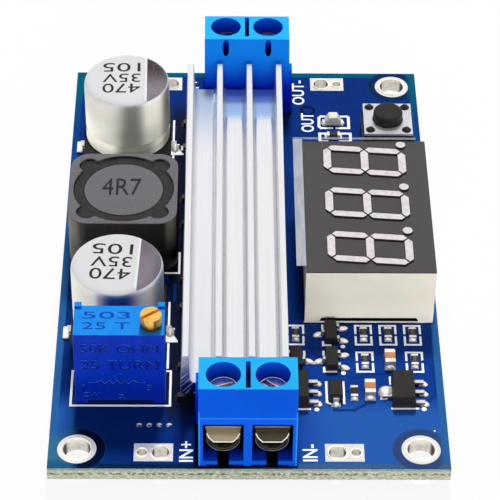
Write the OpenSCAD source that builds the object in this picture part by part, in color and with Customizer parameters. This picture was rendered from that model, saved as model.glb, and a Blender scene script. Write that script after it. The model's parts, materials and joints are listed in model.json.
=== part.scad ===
// Boost converter module: a step-up voltage board with screw terminals at both ends, a finned heatsink over
// its power packages, two capacitors and a shielded inductor on the left, and a three-digit meter on the
// right.
// Millimetres, +Z up. The origin is the centre of the board's lower face; +Y points to the output end.

/* [Board] */
// Width of the board
board_w = 42; // [41:0.5:50]
// Length of the board, input end to output end
board_l = 67; // [60:0.5:80]
// Thickness of the board
board_t = 1.6; // [1:0.1:2.4]
// Diameter of the mounting holes
mount_hole_d = 3; // [2:0.1:3.4]
// Mounting hole centre from the long edges
mount_inset_x = 3; // [2.6:0.05:4]
// Mounting hole centre from the short edges
mount_inset_y = 2.75; // [2.4:0.05:4]
// Width of the tinned ring around a mounting hole
mount_ring_w = 0.55; // [0.3:0.05:0.7]
// Thickness of the tinned copper on the board
pad_t = 0.05; // [0.03:0.01:0.1]
// Length of the through-hole pins below the board
pin_tail = 1.2; // [0.8:0.1:2]
// Room around a pin in its board hole
hole_room = 0.15; // [0.05:0.05:0.25]
// Width of the solder cone around a pin
solder_w = 0.4; // [0.2:0.05:0.6]
// Width of the solder left at the cone's tip
solder_tip_w = 0.1; // [0.05:0.01:0.15]
// Height of the solder cone around a pin
solder_h = 0.7; // [0.4:0.1:0.8]
// Gap left between pieces that rest against each other
rest_gap = 0.03; // [0.02:0.01:0.05]

/* [Spare wire pads] */
// Width of a spare wire pad
wire_pad_w = 4.1; // [3:0.1:5]
// Depth of a spare wire pad
wire_pad_d = 2.5; // [2.2:0.1:3]
// Larger hole of a spare wire pad
wire_hole_d = 1.9; // [1:0.1:2.1]
// Smaller hole of a spare wire pad
test_hole_d = 1.1; // [0.6:0.1:1.3]
// Distance between the two holes of a wire pad
wire_hole_gap = 1.95; // [1.8:0.05:2.2]
// Larger hole's edge from the pad's inner edge
wire_hole_edge = 0.35; // [0.2:0.05:0.45]
// Pad edge from the side of the terminal
wire_pad_offset = 2.85; // [1.5:0.05:3.5]
// Pad edge from the board's end
wire_pad_inset = 1.05; // [0.5:0.05:1.5]
// Diameter of the row of vias behind the input pad
via_d = 0.6; // [0.4:0.1:0.9]
// Distance between the vias
via_pitch = 1.05; // [1:0.05:1.4]
// Row of vias from the middle between the wire pad and the trimmer
via_shift = -0.33; // [-0.6:0.01:0.6]

/* [Screw terminals] */
// Distance between the two poles
pole_pitch = 5.08; // [5:0.01:5.5]
// Height of a terminal housing
term_h = 10; // [9.8:0.1:12]
// Depth of a terminal housing
term_d = 7.8; // [7.5:0.1:9]
// Housing face from the board's end
term_inset = 0.3; // [0:0.1:1]
// Input terminal's centre from the board's centre line
term_shift = -0.17; // [-0.4:0.01:0.4]
// Width of a wire opening
wire_w = 4.2; // [4:0.05:4.4]
// Height of a wire opening
wire_h = 5.4; // [5.2:0.1:5.8]
// Depth of a wire opening
wire_depth = 6.3; // [6:0.1:6.5]
// Floor below a wire opening
term_floor = 0.75; // [0.5:0.05:1]
// Wall outside a wire opening
term_side_wall = 0.45; // [0.3:0.05:0.8]
// Height where the front wall starts to lean back
ridge_z = 7.1; // [6.7:0.1:7.5]
// Lean of the front wall at the top
front_lean = 1.4; // [0.8:0.1:1.6]
// Lean of the back wall at the top
back_lean = 1.75; // [1:0.05:1.9]
// Lip along the front ridge
ridge_lip = 0.12; // [0.05:0.01:0.2]
// Feet under the housing
term_foot_h = 0.2; // [0.1:0.05:0.3]
// Width of the feet under the housing
term_foot_w = 0.8; // [0.5:0.1:1]
// Screw axis from the front face
screw_y = 3.55; // [3.5:0.05:3.8]
// Diameter of the hole over a screw
driver_hole_d = 3.6; // [3.5:0.05:3.9]
// Width of the slot between the screw holes
divider_w = 0.5; // [0.3:0.05:0.7]
// Length of the slot between the screw holes
divider_l = 3.8; // [2:0.1:4]
// Depth of the slot between the screw holes
divider_depth = 3; // [1:0.1:3.5]
// Width of the probe ports in the back slope
probe_w = 0.75; // [0.5:0.05:0.9]
// Length of the probe ports along the slope
probe_l = 1.05; // [0.95:0.05:1.3]
// Depth of the probe ports below the top
probe_depth = 2.4; // [1:0.1:3]
// Width of the notch in the floor of a wire opening
notch_w = 1.2; // [1.15:0.05:1.6]
// How far the joining rib stands out
rib_out = 0.35; // [0.2:0.05:0.6]
// Depth of the joining rib along the side
rib_d = 1.4; // [0.8:0.1:1.6]
// Joining rib's centre from the back face
rib_back = 1.1; // [0.8:0.1:2]
// Upper end of the joining rib
rib_high = 6.4; // [4:0.1:6.6]

/* [Terminal metalwork] */
// Outer radius of a wire cage
cage_r = 1.8; // [1.75:0.01:1.85]
// Sheet thickness of a wire cage
cage_t = 0.3; // [0.2:0.02:0.34]
// Depth of a wire cage
cage_d = 4; // [3.8:0.1:4.05]
// Height of a wire cage
cage_h = 4.4; // [4.2:0.05:4.45]
// Threaded top of a wire cage
cage_top_t = 1; // [0.6:0.05:1.1]
// Diameter of a terminal pin
term_pin_d = 1; // [0.7:0.05:1.1]
// Outer diameter of the screw thread
screw_d = 2.4; // [2:0.05:2.5]
// Running clearance of the screw thread, on the radius
thread_room = 0.05; // [0.02:0.01:0.08]
// Diameter of a screw head
head_d = 3.2; // [2.8:0.05:3.3]
// Height of a screw head
head_h = 1.6; // [1.2:0.05:1.65]
// Screw head below the top of the housing
head_sink = 1.8; // [1.7:0.05:1.9]
// Chamfer around a screw head
head_chamfer = 0.35; // [0.1:0.05:0.5]
// Chamfer at the screw's tip
tip_chamfer = 0.4; // [0.2:0.05:0.6]
// Width of the driver slot
slot_w = 0.6; // [0.4:0.05:0.8]
// Depth of the driver slot
slot_depth = 0.7; // [0.4:0.05:1]
// Underside of the wire guard above the board
guard_low = 2.4; // [2.35:0.01:2.45]
// Height of the guard's front tongue
tongue_h = 2.3; // [1.5:0.05:2.35]
// Width of the tongue at its top
tongue_w = 3.9; // [3:0.05:3.95]
// Width of the tongue at its shoulders
tongue_mid_w = 3.05; // [2.2:0.05:3.1]
// Width of the tongue at its tip
tongue_tip_w = 2.05; // [1.4:0.05:2.1]
// Height of the tongue's shoulders above its tip
tongue_shoulder = 0.65; // [0.3:0.05:1]
// Sheet thickness of the wire guard
guard_t = 0.25; // [0.2:0.01:0.28]
// Width of the guard's foot under the screw
guard_foot_w = 1.2; // [0.8:0.05:1.3]
// Gap between the tongue and the cage
guard_gap = 0.06; // [0.04:0.01:0.1]

/* [Heatsink] */
// Number of fins
fin_count = 4; // [3:1:5]
// Distance between fins
fin_pitch = 3.49; // [3:0.05:3.7]
// Fin thickness at the tip
fin_tip_t = 0.7; // [0.5:0.05:1]
// Fin thickness at the root
fin_root_t = 1.05; // [1:0.05:1.4]
// Round between a fin and the base
fin_round = 0.5; // [0.2:0.05:0.7]
// Fin height above the base
fin_h = 3.9; // [2:0.1:6]
// Thickness of the heatsink base
sink_base_t = 1.65; // [1:0.05:2.5]
// Gap between the heatsink and each terminal
sink_end_gap = 0.4; // [0.2:0.05:1.5]
// Heatsink centre from the board's centre line
sink_x = -1.48; // [-1.8:0.02:-1.2]
// Thickness of the thermal adhesive
adhesive_t = 0.1; // [0.05:0.01:0.2]

/* [Power packages] */
// Length of a package body, leads to tab
power_l = 6.1; // [5.8:0.1:6.3]
// Width of a package body
power_w = 6.6; // [6:0.1:6.8]
// Height of a package body
power_h = 2.3; // [1.8:0.1:2.6]
// Width of the metal tab
tab_w = 5.2; // [4.6:0.1:5.4]
// Length of tab that shows past the body
tab_out = 1.1; // [0.8:0.1:1.2]
// Thickness of the metal tab and the leads
tab_t = 0.5; // [0.4:0.05:0.6]
// Distance between neighbouring leads
lead_pitch = 2.28; // [2.1:0.02:2.4]
// Width of a lead
lead_w = 0.7; // [0.5:0.05:0.9]
// Length of a lead past the body
lead_out = 2.5; // [2:0.1:2.6]
// Height of the leads on the package body
lead_z = 0.9; // [0.6:0.05:1.2]
// Length of the cropped middle lead
crop_lead = 0.8; // [0.4:0.05:1.2]
// Outermost package from the heatsink's end
power_inset = 4.1; // [3.6:0.1:5]
// Package body's lead side from the heatsink's left side
power_shift = 2.1; // [2.1:0.1:2.4]

/* [Capacitors] */
// Diameter of a capacitor can
cap_d = 10; // [8:0.1:10.6]
// Height of a capacitor above the board
cap_h = 10.2; // [8:0.1:12]
// Room between the can and the corner posts of its base
cap_fit = 0.06; // [0.03:0.01:0.1]
// How far the base stands past the can
cap_base_rim = 0.15; // [0.1:0.05:0.25]
// Thickness of the base plate
cap_base_t = 0.8; // [0.5:0.1:1.2]
// Height of the corner posts on the base
cap_post_h = 0.9; // [0.5:0.1:1.2]
// Cut corner of the base
cap_base_cut = 1.9; // [1:0.1:2.4]
// Width of the crimp groove
crimp_w = 1; // [0.6:0.1:1.4]
// Depth of the crimp groove
crimp_depth = 0.45; // [0.2:0.05:0.6]
// Crimp groove above the base plate
crimp_z = 2.3; // [1.5:0.1:2.6]
// Round of the can's top edge
cap_round = 0.8; // [0.3:0.1:1.2]
// Round of the can's lower edge
cap_foot_round = 0.5; // [0.2:0.05:0.6]
// Width of a capacitor lead
cap_lead_w = 1; // [0.6:0.1:1.4]
// Thickness of a capacitor lead
cap_lead_t = 0.3; // [0.2:0.05:0.4]
// Length of lead past the base
cap_lead_out = 0.6; // [0.3:0.05:0.75]
// Length of lead under the base
cap_lead_in = 3; // [2:0.1:4]
// Gap between the front capacitor and the inductor
cap_gap_front = 4.05; // [1:0.05:5]
// Gap between the rear capacitor and the inductor
cap_gap_rear = 5.55; // [1:0.05:6]
// Capacitor centres from the inductor's centre
cap_shift = -0.15; // [-0.4:0.05:0.4]

/* [Inductor] */
// Width of the inductor's square shield
ind_w = 12.2; // [11:0.1:12.8]
// Height of the inductor above the board
ind_h = 7.6; // [5:0.1:10]
// Corner radius of the shield
ind_corner = 2.2; // [1:0.1:3]
// Gap between the inductor and the heatsink
ind_gap = 0.7; // [0.5:0.05:1.2]
// Inductor centre from the board's centre
ind_y = 2.4; // [1:0.1:3]
// Thinnest wall of the shield
ind_wall = 0.45; // [0.3:0.05:1]
// Width of the glue between the shield and the drum core
glue_w = 1.2; // [0.8:0.05:1.6]
// Diameter of the glue lobes in the corners
lobe_d = 2.3; // [1.6:0.1:2.6]
// Diameter of the drum's middle post
drum_post_d = 4.5; // [3:0.1:5]
// Thickness of the drum's flanges
drum_flange_t = 1.2; // [0.8:0.1:1.6]
// Gap between the drum and the board
drum_lift = 0.6; // [0.4:0.05:1]
// How far the drum's top lies below the shield's
drum_sink = 0.2; // [0:0.05:0.5]
// Radial room between the winding and the drum's rim
wind_room = 0.4; // [0.2:0.05:0.8]
// Depth of a glue dab
glue_depth = 0.9; // [0.4:0.1:1.5]
// Glue dab below the top of the shield
glue_sink = 0.25; // [0.1:0.05:0.6]
// Width of an inductor terminal
ind_lead_w = 5; // [3:0.1:6]
// Length of an inductor terminal under the shield
ind_lead_l = 2.4; // [1.5:0.1:2.8]
// Thickness of an inductor terminal
ind_lead_t = 0.3; // [0.2:0.05:0.4]

/* [Trimmer] */
// Width of the trimmer
trim_w = 9.53; // [9:0.01:10]
// Depth of the trimmer
trim_d = 4.83; // [4.6:0.01:5.2]
// Height of the trimmer above the board
trim_h = 10; // [8:0.1:11]
// Height of the trimmer's feet
trim_foot_h = 0.4; // [0.2:0.05:0.6]
// Width of the trimmer's feet
trim_foot_w = 1.2; // [0.8:0.1:1.6]
// Depth of the recess in the trimmer's back
trim_recess = 0.35; // [0.1:0.05:0.5]
// Width of the rear corner posts
trim_post_w = 0.75; // [0.5:0.05:1]
// Height of the rear corner posts above the top
trim_post_h = 0.25; // [0.1:0.05:0.4]
// Gap between the trimmer and the front capacitor
trim_gap = 1.1; // [0.6:0.05:2]
// Trimmer centre from the inductor's centre
trim_shift = 0.4; // [0:0.05:1]
// Diameter of the adjusting screw
adjust_d = 2.3; // [1.8:0.05:2.4]
// Height of the adjusting screw above the top
adjust_h = 1.6; // [1:0.1:2]
// Adjusting screw axis from the right side
adjust_x = 1.4; // [1.25:0.05:1.6]
// Adjusting screw axis from the front
adjust_y = 1.6; // [1.3:0.05:1.8]
// Diameter of the adjusting screw's shaft
adjust_shaft_d = 1.6; // [1.2:0.05:1.7]
// Length of the adjusting screw's shaft
adjust_shaft_l = 4; // [2:0.1:6]
// Running clearance of the adjusting screw
adjust_room = 0.05; // [0.02:0.01:0.08]
// Angle of the adjusting screw's slot
adjust_angle = 35; // [0:1:90]
// Width of the adjusting screw's slot
adjust_slot_w = 0.5; // [0.3:0.05:0.7]
// Depth of the adjusting screw's slot
adjust_slot_depth = 0.6; // [0.3:0.05:0.9]
// Distance between the trimmer's pins
trim_pin_pitch = 2.54; // [2.4:0.01:2.7]
// Diameter of the thin round pins of trimmer, display and switch
thin_pin_d = 0.5; // [0.4:0.05:0.6]
// Length of a thin pin inside its part
pin_root = 1; // [0.6:0.1:1.4]

/* [Display] */
// Width of the display across the board
disp_w = 14.2; // [13.5:0.1:15]
// Length of the display along the board
disp_l = 22.4; // [21.5:0.1:23.5]
// Height of the display above the board
disp_h = 7.6; // [6:0.1:9]
// Gap between the display and the heatsink
disp_gap = 1.97; // [1.5:0.05:2.3]
// Height of the display's feet
disp_foot_h = 0.7; // [0.4:0.05:1]
// Width of the display's feet
disp_foot_w = 1.5; // [1:0.1:2]
// Slope of the feet's inner sides
disp_foot_slope = 0.35; // [0:0.05:0.6]
// Thickness of the display's dark face
face_t = 0.2; // [0.1:0.05:0.4]
// Depth of the segment wells
well_depth = 2.5; // [1:0.1:3]
// Wall around the display's own circuit board
disp_wall = 0.9; // [0.6:0.1:1.2]
// Thickness of the display's own circuit board
disp_board_t = 1; // [0.6:0.1:1.4]
// Number of digits
digit_count = 3; // [2:1:3]
// Distance between digits
digit_pitch = 7.45; // [6.6:0.05:7.6]
// Height of a digit
digit_h = 9.4; // [8:0.1:10]
// Width of a digit
digit_w = 4.85; // [4:0.05:5]
// Lean of the digits in degrees
digit_lean = 5; // [0:1:6]
// Width of a segment
segment_w = 0.88; // [0.6:0.02:1]
// Gap between neighbouring segments
segment_gap = 0.12; // [0.06:0.01:0.2]
// Diameter of a decimal point
point_d = 1.1; // [0.8:0.05:1.2]
// Decimal point past the middle of the digit's right segments
point_out = 1.29; // [1.2:0.01:1.4]
// Number of display pins in each row
disp_pin_count = 6; // [4:1:7]
// Distance between display pins
disp_pin_pitch = 2.54; // [2.4:0.01:2.6]
// Distance between the two rows of display pins
disp_pin_rows = 10.16; // [9:0.01:11]
// Thickness of the protective film
film_t = 0.08; // [0.05:0.01:0.15]
// Film overhang past the display's left side
film_over_x = 1.05; // [0.5:0.05:1.4]
// Film overhang past the display's rear side
film_over_y = 0.3; // [0:0.05:0.6]
// Bare strip of face in front of the film
film_short = 0.7; // [0.2:0.1:1.5]

/* [Push switch] */
// Width of the switch
switch_w = 6; // [5.6:0.1:6.6]
// Height of the switch up to its metal cover
switch_h = 3.5; // [3:0.1:4.5]
// Thickness of the metal cover
cover_t = 0.3; // [0.2:0.05:0.4]
// Metal cover short of the base on each side
cover_inset = 0.12; // [0.05:0.01:0.15]
// Diameter of the button
button_d = 3.5; // [2.6:0.1:3.8]
// Height of the button above the cover
button_out = 1.2; // [0.8:0.1:4]
// Round of the button's top edge
button_round = 0.3; // [0.1:0.05:0.5]
// Width of the button's hidden collar
collar_w = 0.4; // [0.3:0.05:0.5]
// Thickness of the button's hidden collar
collar_t = 0.5; // [0.3:0.05:0.6]
// Running clearance around the button
button_room = 0.08; // [0.05:0.01:0.1]
// Stroke of the button
button_stroke = 0.25; // [0.15:0.05:0.4]
// Diameter of the four rivet heads
rivet_d = 1.15; // [0.8:0.05:1.25]
// Height of the rivet heads
rivet_h = 0.3; // [0.1:0.05:0.4]
// Diameter of the rivets' shanks
rivet_shank_d = 0.6; // [0.4:0.05:0.7]
// Distance between the rivets
rivet_pitch = 4.3; // [4.2:0.1:4.6]
// Diameter of the contact dome
dome_d = 3.6; // [2.6:0.1:4]
// Thickness of the contact dome's sheet
dome_t = 0.12; // [0.08:0.01:0.2]
// Diameter of the flat at the dome's top
dome_crown_d = 1.2; // [0.8:0.1:1.6]
// Rise of the contact dome
dome_rise = 0.4; // [0.2:0.05:0.5]
// Switch centre from the middle between the display and the mounting ring
switch_back = 0.4; // [-0.5:0.1:1]
// Switch centre from the display's centre line
switch_shift = 3.5; // [2:0.1:3.8]
// Distance between the switch's front and rear legs
leg_span = 6.5; // [6.4:0.1:7]
// Distance between the switch's left and right legs
leg_pitch = 4.5; // [4:0.1:5]
// Height of the legs' stubs above the board
leg_stub_z = 0.8; // [0.4:0.1:1.2]

/* [Indicator] */
// Length of the indicator
lamp_l = 2; // [1.6:0.1:3]
// Width of the indicator
lamp_w = 1.25; // [0.8:0.05:1.6]
// Thickness of the indicator's base
lamp_base_t = 0.4; // [0.2:0.05:0.6]
// Length of the indicator's metal ends
lamp_end_l = 0.35; // [0.2:0.05:0.5]
// Height of the indicator's lens
lamp_lens_h = 0.75; // [0.4:0.05:1]
// Draft of the indicator's lens
lamp_draft = 0.5; // [0.2:0.05:0.7]
// Indicator behind the switch's centre
lamp_back = 3.5; // [3:0.1:4]
// Indicator and its resistor from the display's centre line
lamp_shift = -2.85; // [-4:0.05:-2]
// Indicator's resistor behind the switch's centre
lamp_resistor_back = 0.8; // [-0.5:0.1:1]

/* [Chip parts] */
// Length of a chip resistor
chip_l = 1.6; // [1.4:0.1:2]
// Width of a chip resistor
chip_w = 0.8; // [0.7:0.05:1.1]
// Height of a chip resistor
chip_h = 0.5; // [0.3:0.05:0.8]
// Length of a chip resistor's metal end
chip_end_l = 0.32; // [0.2:0.02:0.5]
// Length of a chip capacitor
mlcc_l = 2; // [1.6:0.1:2.2]
// Width of a chip capacitor
mlcc_w = 1.15; // [0.8:0.05:1.3]
// Height of a chip capacitor
mlcc_h = 1.05; // [0.5:0.05:1.3]
// Length of a chip capacitor's metal end
mlcc_end_l = 0.56; // [0.3:0.02:0.6]
// First row of chips from the display's front side
row_one = 2; // [1.8:0.1:2.5]
// Second row of chips from the display's front side
row_two = 6.2; // [5.6:0.1:6.5]
// Third row of chips from the display's front side
row_three = 11.05; // [10.4:0.05:11.2]
// Regulators from the input terminal's inner side
reg_gap = 0.7; // [0.6:0.05:2]
// Solder pad past a chip's end
land_out = 0.25; // [0.1:0.05:0.4]
// Distance between the columns of chips
chip_pitch = 2.7; // [2.5:0.05:2.8]
// Second chip capacitor past the first column
mlcc_shift = 0.34; // [0.2:0.02:0.5]
// Second chip capacitor behind the third row
mlcc_back = 0.25; // [0:0.05:0.4]
// First column of chips from the display's centre line
column_shift = -0.68; // [-1:0.02:-0.3]
// Column of transistors from the display's centre line
trio_shift = -4.3; // [-4.6:0.05:-4]
// Column beside the heatsink from the display's centre line
edge_shift = -8.15; // [-8.3:0.05:-7.8]
// Length of a three-legged transistor's body
trio_l = 2.9; // [2.6:0.1:3]
// Width of a three-legged transistor's body
trio_w = 1.3; // [1.1:0.1:1.5]
// Height of a three-legged transistor's body
trio_h = 1; // [0.8:0.05:1.2]
// Distance between neighbouring legs of a transistor
trio_pitch = 0.95; // [0.85:0.05:1]
// Reach of a transistor's leg
trio_reach = 0.6; // [0.5:0.05:0.8]
// Length of a regulator's body
reg_l = 4.3; // [4:0.1:4.6]
// Width of a regulator's body
reg_w = 2.5; // [2.2:0.1:2.6]
// Height of a regulator's body
reg_h = 1.6; // [1.2:0.1:1.8]
// Distance between neighbouring legs of a regulator
reg_pitch = 1.5; // [1.3:0.05:1.6]
// Right regulator left of the middle between two columns
reg_shift = 0.14; // [0:0.02:0.2]
// Reach of a regulator's leg
reg_reach = 1; // [0.6:0.1:1.1]
// Thickness of a regulator's flat legs
reg_leg_t = 0.38; // [0.2:0.02:0.5]
// Length of the signal diode's body
diode_l = 2.4; // [2.2:0.1:2.8]
// Width of the signal diode's body
diode_w = 1.5; // [1.4:0.1:1.8]
// Height of the signal diode's body
diode_h = 1.1; // [0.8:0.1:1.3]
// Signal diode right of the column of transistors
diode_shift = 0.27; // [0:0.01:0.3]
// Width of the signal diode's leg
diode_leg_w = 0.65; // [0.4:0.05:0.8]
// Reach of the signal diode's leg
diode_reach = 0.5; // [0.4:0.05:0.6]

/* [Control chips] */
// Length of the boost controller's body
boost_l = 3; // [2.8:0.1:3.2]
// Width of the boost controller's body
boost_w = 3; // [2.8:0.1:3.4]
// Legs on each side of the boost controller
boost_legs = 5; // [4:1:5]
// Distance between the boost controller's legs
boost_pitch = 0.5; // [0.45:0.01:0.55]
// Length of the meter chip's body
meter_l = 6.5; // [6.2:0.1:6.6]
// Width of the meter chip's body
meter_w = 4.4; // [4:0.1:4.6]
// Legs on each side of the meter chip
meter_legs = 10; // [8:1:10]
// Distance between the meter chip's legs
meter_pitch = 0.65; // [0.62:0.01:0.66]
// Height of the control chips
control_h = 1.1; // [0.9:0.05:1.3]
// Reach of a control chip's leg
control_reach = 0.9; // [0.6:0.1:1]
// Width of a control chip's leg
control_leg_w = 0.24; // [0.2:0.02:0.3]
// Room between a control chip and the power packages beside it
control_room = 0.3; // [0.1:0.05:0.4]
// Draft of a moulded body's upper part, per millimetre of height
mould_draft = 0.12; // [0.05:0.01:0.2]
// Sheet thickness of the small packages' legs
leg_t = 0.15; // [0.1:0.01:0.2]
// Width of a transistor's and a regulator's leg
small_leg_w = 0.45; // [0.35:0.05:0.55]

/* [Hidden] */
$fn = 48;
// How far a cut reaches past the face it opens
over = 1;
// Shares of a bent leg's reach before its knee and before its heel
leg_knee = 0.25;
leg_heel = 0.5;

// Heights: the board's upper face and the upper face of its tinned pads
top_z = board_t;
seat_z = top_z + pad_t;

// Terminals: outer width, roof of the wire openings, foot of the cage and top of the screw head
term_w = pole_pitch + wire_w + 2 * term_side_wall;
wire_roof = term_floor + wire_h;
cage_z = term_floor + rest_gap;
head_top = term_h - head_sink;
cage_front = screw_y - cage_d / 2;
pole_x = [-pole_pitch / 2, pole_pitch / 2];
term_y = board_l / 2 - term_inset;
term_end = term_y - term_d;
slot_angles = [[20, -42], [65, -15]];

// Heatsink box
sink_w = (fin_count - 1) * fin_pitch + fin_root_t;
sink_l = board_l - 2 * (term_inset + term_d + sink_end_gap);
fin_lean = (fin_root_t - fin_tip_t) / 2 / fin_h;
sink_z = seat_z + power_h + adhesive_t;
sink_left = sink_x - sink_w / 2;
sink_right = sink_x + sink_w / 2;

// Column of large parts on the left
left_x = sink_left - ind_gap - ind_w / 2;
cap_x = left_x + cap_shift;
cap_base_w = cap_d + 2 * cap_base_rim;
cap_front_y = ind_y - ind_w / 2 - cap_gap_front - cap_base_w / 2;
cap_rear_y = ind_y + ind_w / 2 + cap_gap_rear + cap_base_w / 2;
trim_x = left_x + trim_shift;
trim_y = cap_front_y - cap_base_w / 2 - trim_gap - trim_d / 2;

// Display box and the parts placed from it
reg_y = reg_gap + reg_l / 2 - term_end;
disp_x = sink_right + disp_gap + disp_w / 2;
disp_front = reg_y + row_three;
disp_back = disp_front + disp_l;
disp_y = (disp_front + disp_back) / 2;
mount_ring_edge = board_l / 2 - mount_inset_y - mount_hole_d / 2 - mount_ring_w;
switch_x = disp_x + switch_shift;
switch_y = (disp_back + mount_ring_edge) / 2 + switch_back;
lamp_x = disp_x + lamp_shift;
lamp_y = switch_y + lamp_back;

// Heights inside the push switch, from the board's upper face
cover_under = switch_h - cover_t;
cover_w = switch_w - 2 * cover_inset;
collar_low = cover_under - rest_gap - collar_t;
dome_top = collar_low - button_stroke - rest_gap;
dome_low = dome_top - dome_rise - dome_t;
switch_bore_d = button_d + 2 * (collar_w + button_room);

// Power packages along the heatsink, as many as leave room for a control chip between two of them
power_first = sink_l / 2 - power_inset;
power_step = power_w + max(boost_l, meter_l) + 2 * control_room;
power_count = 1 + floor(2 * power_first / power_step);
power_ys = [for (i = [0:power_count - 1]) power_first * (2 * i / (power_count - 1) - 1)];
power_x = sink_left + power_shift;
boost_y = (power_ys[0] + power_ys[1]) / 2;
meter_y = (power_ys[power_count - 2] + power_ys[power_count - 1]) / 2;

// Places of the chip parts: x, y and turn, where a turn of 0 lies along the board
row_y = [disp_front - row_one, disp_front - row_two, reg_y];
column_x = [for (i = [0:2]) disp_x + column_shift + i * chip_pitch];
trio_x = disp_x + trio_shift;
edge_x = disp_x + edge_shift;
resistor_places = [
    [edge_x, row_y[0], 0],
    [column_x[0], row_y[0], 0], [column_x[1], row_y[0], 0], [column_x[2], row_y[0], 0],
    [column_x[0], row_y[1], 0], [column_x[2], row_y[1], 0],
    [column_x[0] - chip_pitch / 2, row_y[2], 0],
    [lamp_x, switch_y + lamp_resistor_back, 90]];
mlcc_places = [[column_x[1], row_y[1], 0], [column_x[0] + mlcc_shift, row_y[2] + mlcc_back, 0]];
trio_places = [[trio_x, row_y[0], 0], [trio_x, row_y[1], 0], [edge_x, row_y[1], 180]];
reg_places = [[column_x[1] + chip_pitch / 2 - reg_shift, row_y[2], 0], [edge_x, row_y[2], 0]];
diode_places = [[trio_x + diode_shift, row_y[2], 0]];

// Through-hole pins: x, y and pin diameter
mount_places = [for (x = [-1, 1], y = [-1, 1])
    [x * (board_w / 2 - mount_inset_x), y * (board_l / 2 - mount_inset_y)]];
term_pins = concat(
    [for (x = pole_x) [term_shift + x, screw_y - term_y, term_pin_d]],
    [for (x = pole_x) [x, term_y - screw_y, term_pin_d]]);
disp_pins = [for (side = [-1, 1], y = spread(disp_pin_count, disp_pin_pitch))
    [disp_x + side * disp_pin_rows / 2, disp_y + y, thin_pin_d]];
trim_pins = [for (i = [-1:1]) [trim_x + i * trim_pin_pitch, trim_y, thin_pin_d]];
leg_places = [for (x = [-1, 1], y = [-1, 1])
    [switch_x + x * leg_pitch / 2, switch_y + y * leg_span / 2, thin_pin_d]];
through_pins = concat(term_pins, disp_pins, trim_pins, leg_places);

// Spare wire pads and the holes in them
wire_pad_x = term_w / 2 + wire_pad_offset + wire_pad_w / 2;
wire_pad_y = board_l / 2 - wire_pad_inset - wire_pad_d / 2;
wire_hole_x = wire_pad_x - wire_pad_w / 2 + wire_hole_edge + wire_hole_d / 2;
via_y = (wire_pad_d / 2 - wire_pad_y + trim_y - trim_d / 2) / 2 + via_shift;
via_count = 4;

// Shared shapes

// A box centred on x and y that stands on z = 0
module slab(w, d, h) {
    translate([-w / 2, -d / 2, 0]) cube([w, d, h]);
}

// Children at each of a list of places, standing at height z
module at_places(places, z = seat_z) {
    for (p = places) translate([p[0], p[1], z]) rotate([0, 0, p[2]]) children();
}

// A side profile in y and z, drawn out along x
module across(w) {
    translate([-w / 2, 0, 0]) rotate([90, 0, 90]) linear_extrude(w) children();
}

// A bent leg that leaves a body at height from_z and lands on the board
module bent_leg(reach, from_z, w, t = leg_t) {
    knee = leg_knee * reach;
    heel = leg_heel * reach;
    translate([0, w / 2, 0]) rotate([90, 0, 0]) linear_extrude(w)
        polygon([[0, from_z], [knee, from_z], [heel, 0], [reach, 0], [reach, t], [heel + t, t],
            [knee + t, from_z + t], [0, from_z + t]]);
}

// A moulded body whose sides draw in above the height where its legs leave
module moulded(w, l, h, waist) {
    intersection() {
        across(w) drafted(l, h, waist);
        rotate([0, 0, 90]) across(l) drafted(w, h, waist);
    }
}

module drafted(w, h, waist) {
    top = w / 2 - draw_in(h, waist);
    polygon([[-w / 2, 0], [w / 2, 0], [w / 2, waist], [top, h], [-top, h], [-w / 2, waist]]);
}

function draw_in(h, waist) = mould_draft * (h - waist);

// Legs in a row along y, leaving the side at x = half_w
module leg_row(half_w, ys, reach, from_z, w) {
    for (y = ys) translate([half_w, y, 0]) bent_leg(reach, from_z, w);
}

// Two tinned lands under the ends of a chip
module end_lands(l, w, end_l) {
    for (side = [-1, 1])
        translate([0, side * (l / 2 - end_l + (end_l + land_out) / 2), 0]) slab(w, end_l + land_out, pad_t);
}

// A land under a leg that leaves the side at x = half_w
module leg_land(half_w, y, reach, w) {
    heel = leg_heel * reach;
    translate([half_w + (heel + reach + land_out) / 2, y, 0])
        slab(reach + land_out - heel, w + land_out, pad_t);
}

// A chip's body and its two metal ends
module chip_body(l, w, h, end_l) slab(w, l - 2 * end_l, h);
module chip_ends(l, w, h, end_l) {
    for (side = [-1, 1]) translate([0, side * (l - end_l) / 2, 0]) slab(w, end_l, h);
}

// Evenly spaced positions about zero
function spread(count, pitch) = [for (i = [0:count - 1]) (i - (count - 1) / 2) * pitch];

// Board

module circuit_board() {
    color("#1d4f9f") difference() {
        slab(board_w, board_l, board_t);
        for (p = mount_places) translate([p[0], p[1], -over])
            cylinder(d = mount_hole_d, h = board_t + 2 * over);
        for (p = through_pins) translate([p[0], p[1], -over])
            cylinder(d = p[2] + 2 * hole_room, h = board_t + 2 * over);
        wire_pad_holes();
    }
}

module wire_pad_holes() {
    for (x = [-1, 1], y = [-1, 1]) translate([x * wire_hole_x, y * wire_pad_y, -over]) {
        cylinder(d = wire_hole_d, h = board_t + 2 * over);
        translate([x * wire_hole_gap, 0, 0]) cylinder(d = test_hole_d, h = board_t + 2 * over);
    }
}

module tinned_pads() {
    color("#d9d9d4") {
        for (p = mount_places, z = [top_z, -pad_t]) translate([p[0], p[1], z]) difference() {
            cylinder(d = mount_hole_d + 2 * mount_ring_w, h = pad_t);
            translate([0, 0, -over]) cylinder(d = mount_hole_d, h = pad_t + 2 * over);
        }
        difference() {
            for (x = [-1, 1], y = [-1, 1]) translate([x * wire_pad_x, y * wire_pad_y, top_z])
                slab(wire_pad_w, wire_pad_d, pad_t);
            wire_pad_holes();
        }
        for (x = spread(via_count, via_pitch)) translate([x - wire_pad_x, via_y, top_z])
            cylinder(d = via_d, h = pad_t);
        chip_lands();
        power_lands();
    }
}

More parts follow.
